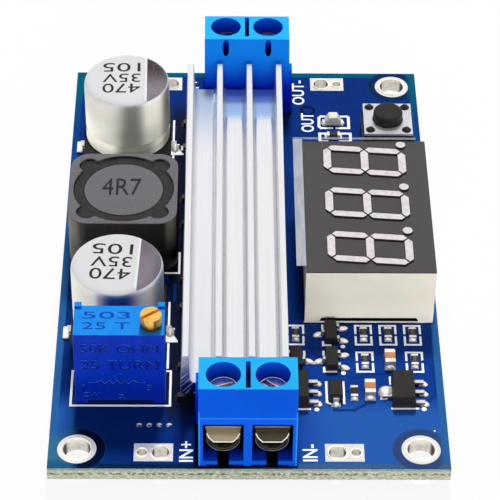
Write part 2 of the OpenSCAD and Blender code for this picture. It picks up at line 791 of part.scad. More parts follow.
// Lands of the small surface parts
module chip_lands() {
    at_places(resistor_places, top_z) end_lands(chip_l, chip_w, chip_end_l);
    at_places(mlcc_places, top_z) end_lands(mlcc_l, mlcc_w, mlcc_end_l);
    at_places([[lamp_x, lamp_y, 90]], top_z) end_lands(lamp_l, lamp_w, lamp_end_l);
    at_places(trio_places, top_z) {
        rotate([0, 0, 180]) leg_land(trio_w / 2, 0, trio_reach, small_leg_w);
        for (side = [-1, 1]) leg_land(trio_w / 2, side * trio_pitch, trio_reach, small_leg_w);
    }
    at_places(reg_places, top_z) {
        rotate([0, 0, 180]) leg_land(reg_w / 2, 0, reg_reach, reg_pitch);
        for (y = [-1:1]) leg_land(reg_w / 2, y * reg_pitch, reg_reach, small_leg_w);
    }
    at_places(diode_places, top_z) for (turn = [90, -90]) rotate([0, 0, turn])
        leg_land(diode_l / 2, 0, diode_reach, diode_w / 2);
}

// Lands of the power packages, the capacitors and the inductor
module power_lands() {
    for (y = power_ys) translate([power_x, y, top_z]) {
        for (side = [-1, 1]) rotate([0, 0, 180]) leg_land(0, side * lead_pitch, lead_out, lead_w);
        translate([power_l + tab_out / 2, 0, 0]) slab(tab_out + land_out, tab_w + land_out, pad_t);
    }
    for (y = [cap_front_y, cap_rear_y], side = [-1, 1])
        translate([cap_x + side * cap_lead_mid, y, top_z])
            slab(cap_lead_in + cap_lead_out, cap_lead_w + land_out, pad_t);
    for (side = [-1, 1]) translate([left_x, ind_y + side * (ind_w - ind_lead_l) / 2, top_z])
        slab(ind_lead_w, ind_lead_l, pad_t);
}

module solder_joints() {
    color("#c4c6c8") for (p = through_pins) translate([p[0], p[1], 0]) rotate_extrude()
        solder_profile(p[2] / 2);
}

// Half outline of a solder cone around a pin, with a hollow curve from the board down to its tip
module solder_profile(pin_r) {
    curve = [for (t = [0:0.25:1])
        [pin_r + solder_tip_w + (solder_w - solder_tip_w) * pow(1 - t, 2), -solder_h * t]];
    polygon(concat([[pin_r + rest_gap, 0]], curve, [[pin_r + rest_gap, -solder_h]]));
}

// Screw terminals, drawn with the wire face at y = 0 and the board's upper face at z = 0

module at_input() translate([term_shift, -term_y, top_z]) children();
module at_output() translate([0, term_y, top_z]) rotate([0, 0, 180]) children();

module terminal_housing() {
    color("#0f6fe0") {
        difference() {
            across(term_w) polygon([
                [ridge_lip, term_foot_h], [ridge_lip, ridge_z - ridge_lip], [0, ridge_z],
                [front_lean, term_h], [term_d - back_lean, term_h], [term_d, ridge_z],
                [term_d, term_foot_h]]);
            for (x = pole_x) translate([x, 0, 0]) terminal_pole_cuts();
            translate([0, screw_y, term_h - divider_depth]) slab(divider_w, divider_l, divider_depth + over);
        }
        terminal_feet();
        translate([-term_w / 2 - rib_out, term_d - rib_back - rib_d / 2, term_foot_h])
            cube([rib_out, rib_d, rib_high - term_foot_h]);
    }
}

// Wire opening, floor notch, driver hole and probe port of one pole
module terminal_pole_cuts() {
    translate([-wire_w / 2, -over, term_floor]) cube([wire_w, wire_depth + over, wire_h]);
    translate([-notch_w / 2, -over, -over])
        cube([notch_w, over + screw_y + notch_w / 2, over + term_floor + over]);
    translate([0, screw_y, wire_roof - over]) cylinder(d = driver_hole_d, h = term_h - wire_roof + 2 * over);
    translate([0, term_d - back_lean, term_h - probe_depth]) linear_extrude(probe_depth + over) {
        for (y = [probe_w / 2, probe_l - probe_w / 2]) translate([0, y]) circle(d = probe_w);
        translate([-probe_w / 2, probe_w / 2]) square([probe_w, probe_l - probe_w]);
    }
}

// Feet at the four corners and beside the middle web
module terminal_feet() {
    for (x = [-1, 0, 1], y = [ridge_lip, term_d - term_foot_w])
        translate([x * (term_w - term_foot_w) / 2 - term_foot_w / 2, y, 0])
            cube([term_foot_w, term_foot_w, term_foot_h]);
}

// Round-bottomed wire cages with threaded tops and their pins
module terminal_contacts() {
    color("#cfc9bb") for (x = pole_x) translate([x, screw_y, 0]) {
        difference() {
            translate([0, cage_d / 2, 0]) rotate([90, 0, 0]) linear_extrude(cage_d) difference() {
                cage_outline(cage_r, cage_h);
                cage_outline(cage_r - cage_t, cage_h - cage_top_t);
            }
            cylinder(r = screw_d / 2 + thread_room, h = term_h);
        }
        translate([0, 0, -board_t - pin_tail])
            cylinder(d = term_pin_d, h = board_t + pin_tail + cage_z + cage_t / 2);
    }
}

module cage_outline(r, h) {
    translate([0, cage_z + cage_r]) circle(r = r);
    translate([-r, cage_z + cage_r]) square([2 * r, h - cage_r]);
}

// Wire guard: a tongue in front of the cage and a foot under the screw
module terminal_guard(x) {
    color("#d8d0ba") translate([x, 0, 0]) {
        translate([0, cage_front - guard_gap, 0]) rotate([90, 0, 0]) linear_extrude(guard_t)
            translate([0, guard_low]) polygon([
                [-tongue_tip_w / 2, 0], [tongue_tip_w / 2, 0],
                [tongue_mid_w / 2, tongue_shoulder], [tongue_w / 2, tongue_h],
                [-tongue_w / 2, tongue_h], [-tongue_mid_w / 2, tongue_shoulder]]);
        translate([-guard_foot_w / 2, cage_front - guard_gap - guard_t, guard_low])
            cube([guard_foot_w, screw_y + screw_d / 2 - cage_front + guard_gap + guard_t, guard_t]);
    }
}

// Slotted clamping screw, its tip resting on the guard's foot
module terminal_screw(x, angle) {
    tip_z = guard_low + guard_t + rest_gap;
    color("#b9b6b0") translate([x, screw_y, 0]) difference() {
        rotate_extrude() polygon([[0, tip_z], [screw_d / 2 - tip_chamfer, tip_z],
            [screw_d / 2, tip_z + tip_chamfer], [screw_d / 2, head_top - head_h],
            [head_d / 2, head_top - head_h], [head_d / 2, head_top - head_chamfer],
            [head_d / 2 - head_chamfer, head_top], [0, head_top]]);
        rotate([0, 0, angle]) translate([0, 0, head_top - slot_depth])
            slab(head_d + over, slot_w, slot_depth + over);
    }
}

module input_terminal_housing() at_input() terminal_housing();
module input_terminal_contacts() at_input() terminal_contacts();
module input_guard_left() at_input() terminal_guard(pole_x[0]);
module input_guard_right() at_input() terminal_guard(pole_x[1]);
module input_screw_left() at_input() terminal_screw(pole_x[0], slot_angles[0][0]);
module input_screw_right() at_input() terminal_screw(pole_x[1], slot_angles[0][1]);
module output_terminal_housing() at_output() terminal_housing();
module output_terminal_contacts() at_output() terminal_contacts();
module output_guard_left() at_output() terminal_guard(pole_x[1]);
module output_guard_right() at_output() terminal_guard(pole_x[0]);
module output_screw_left() at_output() terminal_screw(pole_x[1], slot_angles[1][0]);
module output_screw_right() at_output() terminal_screw(pole_x[0], slot_angles[1][1]);

// Heatsink and the packages that carry it

module heatsink() {
    half = sink_w / 2;
    tip = half - fin_lean * fin_h;
    color("#e4e4e6") translate([sink_x, sink_l / 2, sink_z]) rotate([90, 0, 0]) linear_extrude(sink_l)
        difference() {
            polygon([[-half, 0], [half, 0], [half, sink_base_t], [tip, sink_base_t + fin_h],
                [-tip, sink_base_t + fin_h], [-half, sink_base_t]]);
            for (x = spread(fin_count - 1, fin_pitch)) translate([x, sink_base_t]) fin_channel();
        }
}

// Gap between two fins, round where it meets the base
module fin_channel() {
    half = (fin_pitch - fin_root_t) / 2 - fin_round;
    floor = [for (a = [0:15:90]) fin_round * [sin(a), 1 - cos(a)]];
    side = concat([for (p = floor) [half + p[0] + fin_lean * p[1], p[1]]],
        [[half + fin_round + fin_lean * (fin_h + over), fin_h + over]]);
    polygon(concat(side, [for (i = [len(side) - 1:-1:0]) [-side[i][0], side[i][1]]]));
}

module thermal_adhesive() {
    inset = 2 * draw_in(power_h, lead_z + tab_t);
    color("#f2f0ea") for (y = power_ys) translate([power_x + power_l / 2, y, seat_z + power_h])
        slab(power_l - inset, power_w - inset, adhesive_t);
}

module power_package_bodies() {
    color("#2b2a29") for (y = power_ys) translate([power_x + power_l / 2, y, seat_z])
        moulded(power_l, power_w, power_h, lead_z + tab_t);
}

// A tab on one side; two bent legs and a cropped middle leg on the other
module power_package_leads() {
    color("#cfcfcb") for (y = power_ys) translate([power_x, y, seat_z]) {
        translate([power_l + tab_out / 2, 0, 0]) slab(tab_out, tab_w, tab_t);
        for (side = [-1, 1]) translate([0, side * lead_pitch, 0]) rotate([0, 0, 180])
            bent_leg(lead_out, lead_z, lead_w, tab_t);
        translate([-crop_lead / 2, 0, lead_z]) slab(crop_lead, lead_w, tab_t);
    }
}

// Capacitors

cap_lead_mid = cap_base_w / 2 + (cap_lead_out - cap_lead_in) / 2;
cap_plate_z = seat_z + cap_lead_t;

// Can with a round crimp groove near its foot and round edges, standing on its base plate
module capacitor_can(y) {
    r = cap_d / 2;
    foot = cap_plate_z + cap_base_t;
    top = top_z + cap_h;
    groove = foot + crimp_z;
    curl = [for (a = [-90:30:0]) [r - cap_foot_round * (1 - cos(a)), foot + cap_foot_round * (1 + sin(a))]];
    crimp = [for (a = [0:40:360]) [r - crimp_depth * (1 - cos(a)) / 2, groove + crimp_w * (a / 360 - 1 / 2)]];
    shoulder = [for (a = [0:15:90]) [r - cap_round * (1 - cos(a)), top - cap_round * (1 - sin(a))]];
    color("#dddbd4") translate([cap_x, y, 0]) rotate_extrude()
        polygon(concat([[0, foot]], curl, crimp, shoulder, [[0, top]]));
}

// Square base plate with posts around the can and two cut corners on the positive side
module capacitor_base(y) {
    side = cap_base_w / 2;
    color("#252423") translate([cap_x, y, cap_plate_z]) difference() {
        linear_extrude(cap_base_t + cap_post_h)
            polygon([[-side + cap_base_cut, -side], [side, -side], [side, side], [-side + cap_base_cut, side],
                [-side, side - cap_base_cut], [-side, -side + cap_base_cut]]);
        translate([0, 0, cap_base_t]) cylinder(d = cap_d + 2 * cap_fit, h = cap_post_h + over);
    }
}

module capacitor_leads() {
    color("#d4d4d0") for (y = [cap_front_y, cap_rear_y], side = [-1, 1])
        translate([cap_x + side * cap_lead_mid, y, seat_z])
            slab(cap_lead_in + cap_lead_out, cap_lead_w, cap_lead_t);
}

module front_capacitor_can() capacitor_can(cap_front_y);
module front_capacitor_base() capacitor_base(cap_front_y);
module rear_capacitor_can() capacitor_can(cap_rear_y);
module rear_capacitor_base() capacitor_base(cap_rear_y);

// Inductor

ind_low = seat_z + ind_lead_t;
ind_top = top_z + ind_h;
drum_low = seat_z + drum_lift;
drum_top = ind_top - drum_sink;
ind_bore_d = ind_w - 2 * ind_wall;
drum_d = ind_bore_d - 2 * glue_w;
lobe_angles = [45, 135, 225, 315];

module at_inductor(z) translate([left_x, ind_y, z]) children();

module lobes(d) {
    for (a = lobe_angles) rotate(a) translate([ind_bore_d / 2, 0]) circle(d = d);
}

// Square ferrite ring with round corners and glue lobes in its bore
module inductor_shield() {
    corner = ind_w / 2 - ind_corner;
    color("#5d5b5c") at_inductor(ind_low) linear_extrude(ind_top - ind_low) difference() {
        union() {
            square([ind_w, 2 * corner], center = true);
            square([2 * corner, ind_w], center = true);
            for (x = [-1, 1], y = [-1, 1]) translate([x * corner, y * corner]) circle(r = ind_corner);
        }
        circle(d = ind_bore_d);
        lobes(lobe_d);
    }
}

// Spool-shaped ferrite core
module inductor_drum() {
    low = drum_low + drum_flange_t;
    high = drum_top - drum_flange_t;
    color("#6a6869") at_inductor(0) rotate_extrude() polygon([[0, drum_low], [drum_d / 2, drum_low],
        [drum_d / 2, low], [drum_post_d / 2, low], [drum_post_d / 2, high], [drum_d / 2, high],
        [drum_d / 2, drum_top], [0, drum_top]]);
}

module inductor_winding() {
    low = drum_low + drum_flange_t + rest_gap;
    high = drum_top - drum_flange_t - rest_gap;
    color("#b5702f") at_inductor(low) difference() {
        cylinder(d = drum_d - 2 * wind_room, h = high - low);
        translate([0, 0, -over]) cylinder(d = drum_post_d + 2 * rest_gap, h = high - low + 2 * over);
    }
}

// Glue around the core, with a dab in each corner of the shield
module inductor_glue() {
    color("#39342f") at_inductor(ind_top - glue_sink - glue_depth) linear_extrude(glue_depth) difference() {
        union() {
            circle(d = ind_bore_d - 2 * rest_gap);
            lobes(lobe_d - 2 * rest_gap);
        }
        circle(d = drum_d + 2 * rest_gap);
    }
}

module inductor_terminals() {
    color("#d4d4d0") for (side = [-1, 1]) translate([left_x, ind_y + side * (ind_w - ind_lead_l) / 2, seat_z])
        slab(ind_lead_w, ind_lead_l, ind_lead_t);
}

// Trimmer

adjust_place = [trim_x + trim_w / 2 - adjust_x, trim_y - trim_d / 2 + adjust_y];

module trimmer_case() {
    low = top_z + trim_foot_h;
    color("#1166d8") difference() {
        union() {
            translate([trim_x, trim_y, low]) slab(trim_w, trim_d, trim_h - trim_foot_h);
            translate([trim_x, trim_y, top_z]) for (x = [-1, 1], y = [-1, 1])
                translate([x * (trim_w - trim_foot_w) / 2, y * (trim_d - trim_foot_w) / 2, 0])
                    slab(trim_foot_w, trim_foot_w, trim_foot_h);
            for (x = [-1, 1])
                translate([trim_x + x * (trim_w - trim_post_w) / 2, trim_y + (trim_d - trim_post_w) / 2, low])
                    slab(trim_post_w, trim_post_w, trim_h - trim_foot_h + trim_post_h);
        }
        translate([trim_x, trim_y + trim_d / 2, low - over])
            slab(trim_w - 2 * trim_post_w, 2 * trim_recess, trim_h + 2 * over);
        translate([adjust_place[0], adjust_place[1], top_z + trim_h - adjust_shaft_l - rest_gap])
            cylinder(r = adjust_shaft_d / 2 + adjust_room, h = adjust_shaft_l + over);
        for (p = trim_pins) translate([p[0], p[1], low - over])
            cylinder(d = p[2] + 2 * rest_gap, h = pin_root + over);
    }
}

module trimmer_screw() {
    case_top = top_z + trim_h;
    shaft_low = case_top - adjust_shaft_l;
    head_low = case_top + rest_gap;
    head_high = case_top + adjust_h;
    color("#c99a3c") translate([adjust_place[0], adjust_place[1], 0]) difference() {
        rotate_extrude() polygon([[0, shaft_low], [adjust_shaft_d / 2, shaft_low],
            [adjust_shaft_d / 2, head_low], [adjust_d / 2, head_low], [adjust_d / 2, head_high],
            [0, head_high]]);
        rotate([0, 0, adjust_angle]) translate([0, 0, head_high - adjust_slot_depth])
            slab(adjust_d + over, adjust_slot_w, adjust_slot_depth + over);
    }
}

module trimmer_pins() {
    color("#cfcfcb") for (p = trim_pins) translate([p[0], p[1], -pin_tail])
        cylinder(d = p[2], h = pin_tail + top_z + trim_foot_h + pin_root - rest_gap);
}

// Display: the digits' tops point to -x and they read along +y

face_z = top_z + disp_h - face_t;
disp_low = top_z + disp_foot_h;

module at_display(z) translate([disp_x, disp_y, z]) children();

digit_slope = tan(digit_lean);

// Points of a segment of length l that runs along +x from the origin, with pointed ends
function segment_points(l) = let (half = segment_w / 2, tip = segment_gap, end = segment_gap + half)
    [[tip, 0], [end, half], [l - end, half], [l - tip, 0], [l - end, -half], [end, -half]];
function turned(points) = [for (p = points) [-p[1], p[0]]];
// Points moved to x and y and leaned to the right with their height
function leaned(points, x, y) = [for (p = points) [p[0] + x + digit_slope * (p[1] + y), p[1] + y]];

// One digit about its centre, drawn with its top towards +y and then turned
module digit() {
    w = digit_w - segment_w;
    h = (digit_h - segment_w) / 2;
    rotate(90) {
        for (y = [-h, 0, h]) polygon(leaned(segment_points(w), -w / 2, y));
        for (x = [-w / 2, w / 2], y = [-h, 0]) polygon(leaned(turned(segment_points(h)), x, y));
        translate([w / 2 + point_out - digit_slope * h, -h]) circle(d = point_d);
    }
}

module digits() {
    for (y = spread(digit_count, digit_pitch)) translate([0, y]) digit();
}

module display_case() {
    color("#ddd6c6") difference() {
        at_display(top_z) slab(disp_w, disp_l, face_z - top_z);
        at_display(top_z) {
            across(disp_w + over) foot_arch(disp_l);
            rotate([0, 0, 90]) across(disp_l + over) foot_arch(disp_w);
        }
        at_display(face_z - well_depth) linear_extrude(well_depth + over) digits();
        at_display(disp_low - over)
            slab(disp_w - 2 * disp_wall, disp_l - 2 * disp_wall, disp_board_t + rest_gap + over);
    }
}

// Gap between two feet of the display, narrower at its top
module foot_arch(l) {
    half = l / 2 - disp_foot_w;
    polygon([[-half, -over], [half, -over], [half, 0], [half - disp_foot_slope, disp_foot_h],
        [disp_foot_slope - half, disp_foot_h], [-half, 0]]);
}

module display_face() {
    color("#4b494c") at_display(face_z) linear_extrude(face_t) difference() {
        square([disp_w, disp_l], center = true);
        digits();
    }
}

module display_segments() {
    color("#dcd6d4") at_display(face_z - well_depth) linear_extrude(well_depth + face_t) digits();
}

module display_circuit_board() {
    inset = 2 * (disp_wall + rest_gap);
    color("#4d7a4a") difference() {
        at_display(disp_low) slab(disp_w - inset, disp_l - inset, disp_board_t);
        for (p = disp_pins) translate([p[0], p[1], disp_low - over])
            cylinder(d = p[2] + 2 * rest_gap, h = disp_board_t + 2 * over);
    }
}

module display_pins() {
    color("#cfcfcb") for (p = disp_pins) translate([p[0], p[1], -pin_tail])
        cylinder(d = p[2], h = pin_tail + disp_low + disp_board_t);
}

// Clear film on the face, laid a little to the left and to the back
module display_film() {
    low_y = disp_front + film_short;
    high_y = disp_back + film_over_y;
    color("#c9d2df", 0.5) translate([disp_x - film_over_x, (low_y + high_y) / 2, top_z + disp_h])
        slab(disp_w, high_y - low_y, film_t);
}

// Push switch

module at_switch(z) translate([switch_x, switch_y, z]) children();

module at_rivets() {
    for (x = [-1, 1], y = [-1, 1]) translate([x * rivet_pitch / 2, y * rivet_pitch / 2, 0]) children();
}

// Base with a round well for the dome and four posts riveted over the cover
module switch_base() {
    color("#1f1e1d") at_switch(top_z) {
        difference() {
            slab(switch_w, switch_w, cover_under);
            translate([0, 0, dome_low]) cylinder(d = switch_bore_d, h = switch_h);
        }
        at_rivets() {
            cylinder(d = rivet_shank_d, h = switch_h);
            translate([0, 0, switch_h]) cylinder(d1 = rivet_d, d2 = rivet_shank_d, h = rivet_h);
        }
    }
}

module switch_cover() {
    color("#d3d0d4") at_switch(top_z + cover_under) difference() {
        slab(cover_w, cover_w, cover_t);
        translate([0, 0, -over]) cylinder(d = button_d + 2 * button_room, h = cover_t + 2 * over);
        at_rivets() translate([0, 0, -over])
            cylinder(d = rivet_shank_d + 2 * rest_gap, h = cover_t + 2 * over);
    }
}

module switch_button() {
    r = button_d / 2;
    top = switch_h + button_out - collar_low;
    crown = [for (a = [0:30:90]) [r - button_round * (1 - cos(a)), top - button_round * (1 - sin(a))]];
    color("#1a1a1b") at_switch(top_z + collar_low) rotate_extrude()
        polygon(concat([[0, 0], [r + collar_w, 0], [r + collar_w, collar_t], [r, collar_t]],
            crown, [[0, top]]));
}

module switch_dome() {
    r = dome_d / 2;
    crown = dome_crown_d / 2;
    color("#c9c9c4") at_switch(top_z + dome_low) rotate_extrude() polygon([[r, 0], [r, dome_t],
        [crown, dome_rise + dome_t], [0, dome_rise + dome_t], [0, dome_rise], [crown, dome_rise],
        [r - dome_t, 0]]);
}

// Round legs with a stub into the side of the base
module switch_legs() {
    stub = (leg_span - switch_w) / 2;
    color("#cfcfcb") {
        for (p = leg_places) translate([p[0], p[1], -pin_tail])
            cylinder(d = p[2], h = pin_tail + top_z + leg_stub_z + p[2]);
        for (x = [-1, 1], y = [-1, 1]) at_switch(top_z + leg_stub_z)
            translate([x * leg_pitch / 2, y * (switch_w + stub) / 2, 0]) slab(thin_pin_d, stub, thin_pin_d);
    }
}

// Indicator

module at_lamp(z) translate([lamp_x, lamp_y, seat_z + z]) children();

module indicator_base() {
    color("#e6e2d4") at_lamp(0) slab(lamp_l - 2 * lamp_end_l, lamp_w, lamp_base_t);
}

module indicator_lens() {
    half = lamp_l / 2;
    color("#eef0ee") at_lamp(lamp_base_t) rotate([0, 0, 90]) across(lamp_w)
        polygon([[-half, 0], [half, 0], [half - lamp_draft, lamp_lens_h], [-half + lamp_draft, lamp_lens_h]]);
}

module indicator_ends() {
    color("#d9cfae") at_lamp(0) rotate([0, 0, 90]) chip_ends(lamp_l, lamp_w, lamp_base_t, lamp_end_l);
}

// Chip parts

module chip_resistors() {
    color("#20201f") at_places(resistor_places) chip_body(chip_l, chip_w, chip_h, chip_end_l);
}

module chip_resistor_ends() {
    color("#dcdcd8") at_places(resistor_places) chip_ends(chip_l, chip_w, chip_h, chip_end_l);
}

module chip_capacitors() {
    color("#b98a5e") at_places(mlcc_places) chip_body(mlcc_l, mlcc_w, mlcc_h, mlcc_end_l);
}

module chip_capacitor_ends() {
    color("#dcdcd8") at_places(mlcc_places) chip_ends(mlcc_l, mlcc_w, mlcc_h, mlcc_end_l);
}

module transistor_bodies() {
    color("#2c2a27") at_places(trio_places) moulded(trio_w, trio_l, trio_h, trio_h / 2 + leg_t);
}

// One leg on the left and two on the right
module transistor_legs() {
    color("#cfcfcb") at_places(trio_places) {
        rotate([0, 0, 180]) leg_row(trio_w / 2, [0], trio_reach, trio_h / 2, small_leg_w);
        leg_row(trio_w / 2, [-trio_pitch, trio_pitch], trio_reach, trio_h / 2, small_leg_w);
    }
}

module regulator_bodies() {
    color("#2c2a27") at_places(reg_places) moulded(reg_w, reg_l, reg_h, reg_leg_t);
}

// A wide tab on the left and three flat legs on the right
module regulator_legs() {
    side = (reg_w + reg_reach) / 2;
    color("#cfcfcb") at_places(reg_places) {
        translate([-side, 0, 0]) slab(reg_reach, reg_pitch, reg_leg_t);
        for (y = [-1:1]) translate([side, y * reg_pitch, 0]) slab(reg_reach, small_leg_w, reg_leg_t);
    }
}

module signal_diode_body() {
    color("#2c2a27") at_places(diode_places) moulded(diode_w, diode_l, diode_h, diode_h / 2 + leg_t);
}

module signal_diode_legs() {
    color("#cfcfcb") at_places(diode_places) for (turn = [90, -90]) rotate([0, 0, turn])
        leg_row(diode_l / 2, [0], diode_reach, diode_h / 2, diode_leg_w);
}

module at_boost() translate([sink_x, boost_y, seat_z]) children();
module at_meter() translate([sink_x, meter_y, seat_z]) children();

module control_chip_bodies() {
    color("#2c2a27") {
        at_boost() moulded(boost_w, boost_l, control_h, control_h / 2 + leg_t);
        at_meter() moulded(meter_w, meter_l, control_h, control_h / 2 + leg_t);
    }
}

module control_legs(w, count, pitch) {
    leg_row(w / 2, spread(count, pitch), control_reach, control_h / 2, control_leg_w);
}

module control_chip_legs() {
    color("#cfcfcb") for (turn = [0, 180]) {
        at_boost() rotate([0, 0, turn]) control_legs(boost_w, boost_legs, boost_pitch);
        at_meter() rotate([0, 0, turn]) control_legs(meter_w, meter_legs, meter_pitch);
    }
}

circuit_board();
tinned_pads();
solder_joints();
input_terminal_housing();
input_terminal_contacts();
input_guard_left();
input_guard_right();
input_screw_left();
input_screw_right();
output_terminal_housing();
output_terminal_contacts();
output_guard_left();
output_guard_right();
output_screw_left();
output_screw_right();
heatsink();
thermal_adhesive();
power_package_bodies();
power_package_leads();
front_capacitor_can();
front_capacitor_base();
rear_capacitor_can();
rear_capacitor_base();
capacitor_leads();
inductor_shield();
inductor_drum();
inductor_winding();
inductor_glue();
inductor_terminals();
trimmer_case();
trimmer_screw();
trimmer_pins();
display_case();
display_face();
display_segments();
display_circuit_board();
display_pins();
display_film();
switch_base();
switch_cover();
switch_button();
switch_dome();
switch_legs();
indicator_base();
indicator_lens();
indicator_ends();
chip_resistors();
chip_resistor_ends();
chip_capacitors();
chip_capacitor_ends();
transistor_bodies();
transistor_legs();
regulator_bodies();
regulator_legs();
signal_diode_body();
signal_diode_legs();
control_chip_bodies();
control_chip_legs();
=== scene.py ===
"""Boost converter module: the looks of the step-up board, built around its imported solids."""

import json
import math

import bpy
from mathutils import Matrix, Vector


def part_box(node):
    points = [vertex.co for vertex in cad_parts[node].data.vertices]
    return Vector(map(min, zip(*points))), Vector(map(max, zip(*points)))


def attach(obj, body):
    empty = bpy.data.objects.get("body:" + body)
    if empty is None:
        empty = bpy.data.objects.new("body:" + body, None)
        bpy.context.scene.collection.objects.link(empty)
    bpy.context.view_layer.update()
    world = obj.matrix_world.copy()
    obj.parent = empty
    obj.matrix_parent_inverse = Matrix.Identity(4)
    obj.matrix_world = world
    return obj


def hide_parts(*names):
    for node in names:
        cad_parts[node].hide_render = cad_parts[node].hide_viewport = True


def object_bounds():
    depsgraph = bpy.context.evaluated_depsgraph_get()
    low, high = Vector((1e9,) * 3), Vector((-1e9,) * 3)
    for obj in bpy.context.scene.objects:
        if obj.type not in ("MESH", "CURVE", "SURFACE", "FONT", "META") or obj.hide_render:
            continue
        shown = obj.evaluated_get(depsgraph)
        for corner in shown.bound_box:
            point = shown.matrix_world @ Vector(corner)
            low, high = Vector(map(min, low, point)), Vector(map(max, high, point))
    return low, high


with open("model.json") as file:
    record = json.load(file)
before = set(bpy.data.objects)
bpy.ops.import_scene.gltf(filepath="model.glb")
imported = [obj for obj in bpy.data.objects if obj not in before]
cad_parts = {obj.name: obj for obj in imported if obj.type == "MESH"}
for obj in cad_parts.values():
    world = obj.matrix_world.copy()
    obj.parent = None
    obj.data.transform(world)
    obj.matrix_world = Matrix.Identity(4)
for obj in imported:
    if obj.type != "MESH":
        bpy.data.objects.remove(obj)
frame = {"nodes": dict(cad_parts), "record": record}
CAD_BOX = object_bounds()

bl_info = {
    "name": "Boost Converter Module",
    "version": (1, 0, 0),
    "blender": (4, 5, 0),
    "location": "View3D > Sidebar > Converter",
    "description": "Dresses a step-up converter board with its finishes, lettering, threads and solder",
    "category": "Object",
}

MM = 0.001
MERGE = 1e-6
NODES = frame["nodes"]
BODY_OF = {node: body for body, nodes in frame["record"]["behaviour"]["bodies"].items() for node in nodes}


def tone(red, green, blue):
    """A colour picked on screen, from 0 to 255, as scene-linear values."""
    def linear(value):
        value /= 255
        return value / 12.92 if value <= 0.04045 else ((value + 0.055) / 1.055) ** 2.4
    return linear(red), linear(green), linear(blue)


def corners(node):
    """A solid's lowest and highest corners, in millimetres."""
    return tuple(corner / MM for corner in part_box(node))


def middle(node):
    """The middle of a solid's box, in millimetres."""
    low, high = corners(node)
    return (low + high) / 2


def metres(x, y, z):
    """A place that is given in millimetres."""
    return Vector((x, y, z)) * MM


BOARD_LOW, BOARD_HIGH = corners("circuit_board")
BOARD_TOP = BOARD_HIGH.z
HALF_W, HALF_L = BOARD_HIGH.x, BOARD_HIGH.y

# Places on the board, in millimetres: mounting holes, poles of the terminals, the strip left of the heatsink
# with its pads that painted shade darkens, the leads of the capacitors, and the row of vias
HOLE_X, HOLE_Y, HOLE_RADIUS = 18.0, 30.75, 1.5
POLE_X, INPUT_SHIFT = 2.54, 0.17
SHADE_STRIP_X, SHADE_PADS_X = -7.3, -7.8
CAN_LEADS_Y = (19.2, -12.9)
VIAS_Y = -27.9

# Where the painted reflection of the rear terminal on the heatsink's floor starts and ends, from front to
# back
SINK_REFLECTION = (19.1, 21.7)

# Chips in front of the display, the resistors with their codes
REAR_ROW, FRONT_ROW = -13.5, -17.7
RESISTORS = {
    (12.67, REAR_ROW): "103", (15.37, REAR_ROW): "512", (18.07, REAR_ROW): "102",
    (12.67, FRONT_ROW): "472", (18.07, FRONT_ROW): "203", (5.2, REAR_ROW): "103",
}
UNMARKED_CHIP = (11.32, -22.55)
CERAMICS = ((15.37, FRONT_ROW), (13.01, -22.3))

# Turns of the cans in degrees and of words in radians, the step between bars that overlap, and plain white
CAN_TURN = {"front_capacitor_can": -2.5, "rear_capacitor_can": 1.0}
UPWARDS, STANDING = (0, 0, math.radians(90)), (math.radians(90), 0, 0)
STEP = 0.002
WHITE = (1, 1, 1, 1)


def colour_property(name, description, *screen):
    return bpy.props.FloatVectorProperty(
        name=name, description=description, subtype="COLOR", size=3, min=0, max=1, default=tone(*screen))


def length_property(name, description, millimetres):
    return bpy.props.FloatProperty(
        name=name, description=description, unit="LENGTH", min=0, precision=5, default=millimetres * MM)


class ConverterColours(bpy.types.PropertyGroup):
    """Colours of the board and of what is soldered to it"""
    mask: colour_property("Solder mask", "Mask over copper", 12, 50, 126)
    mask_bare: colour_property("Bare mask", "Mask over the laminate, with no copper under it", 42, 98, 160)
    laminate: colour_property("Laminate", "Cut edge of the board", 212, 214, 192)
    ink: colour_property("Printing", "Printed lines and letters on the board", 246, 247, 249)
    tin: colour_property("Tin", "Tinned copper and leads", 236, 234, 229)
    terminal_top: colour_property("Terminal top", "Terminal plastic where light falls on it", 38, 180, 246)
    terminal_side: colour_property("Terminal side", "Terminal plastic on its upright sides", 0, 90, 226)
    trimmer_top: colour_property("Trimmer top", "Trimmer plastic where light falls on it", 26, 142, 236)
    trimmer_side: colour_property("Trimmer side", "Trimmer plastic on its upright sides", 0, 46, 178)
    sink: colour_property("Heatsink", "Drawn aluminium", 238, 238, 241)
    can: colour_property("Can", "Capacitor can", 228, 226, 214)
    mark: colour_property("Polarity mark", "Printed segment on a capacitor's top", 104, 96, 106)
    ferrite_top: colour_property("Ground ferrite", "Ground faces of the inductor", 112, 110, 115)
    ferrite_side: colour_property("Fired ferrite", "Sides of the inductor as fired", 34, 31, 30)
    brass: colour_property("Brass", "Adjusting screw", 246, 198, 104)
    case: colour_property("Display case", "Cream moulding of the display", 240, 233, 215)
    face: colour_property("Display face", "Grey film on the display", 70, 67, 69)
    segment: colour_property("Segments", "Unlit segments", 226, 220, 219)
    black: colour_property("Black moulding", "Moulded packages", 28, 26, 25)
    tan: colour_property("Ceramic", "Body of a ceramic chip capacitor", 206, 142, 92)


class ConverterSizes(bpy.types.PropertyGroup):
    """Sizes of the small work that the solids leave out"""
    ink_width: length_property("Line width", "Width of a printed line", 0.24)
    ink_depth: length_property("Ink depth", "Thickness of the printing", 0.02)
    lining: length_property("Hole lining", "Thickness of the plating in a hole", 0.04)
    trace_depth: length_property("Trace height", "Rise of the mask over a trace", 0.025)
    thread_pitch: length_property("Thread pitch", "Pitch of a clamping screw", 0.45)
    thread_depth: length_property("Thread depth", "Depth of a clamping screw's thread", 0.22)
    moulded_edge: length_property("Moulded edge", "Round on the edges of mouldings", 0.1)
    metal_edge: length_property("Metal edge", "Round on the edges of metal pieces", 0.05)
    relief: length_property("Relief", "Height of raised letters", 0.16)


def colours():
    """The colours that the sidebar holds."""
    return bpy.context.scene.converter_colours


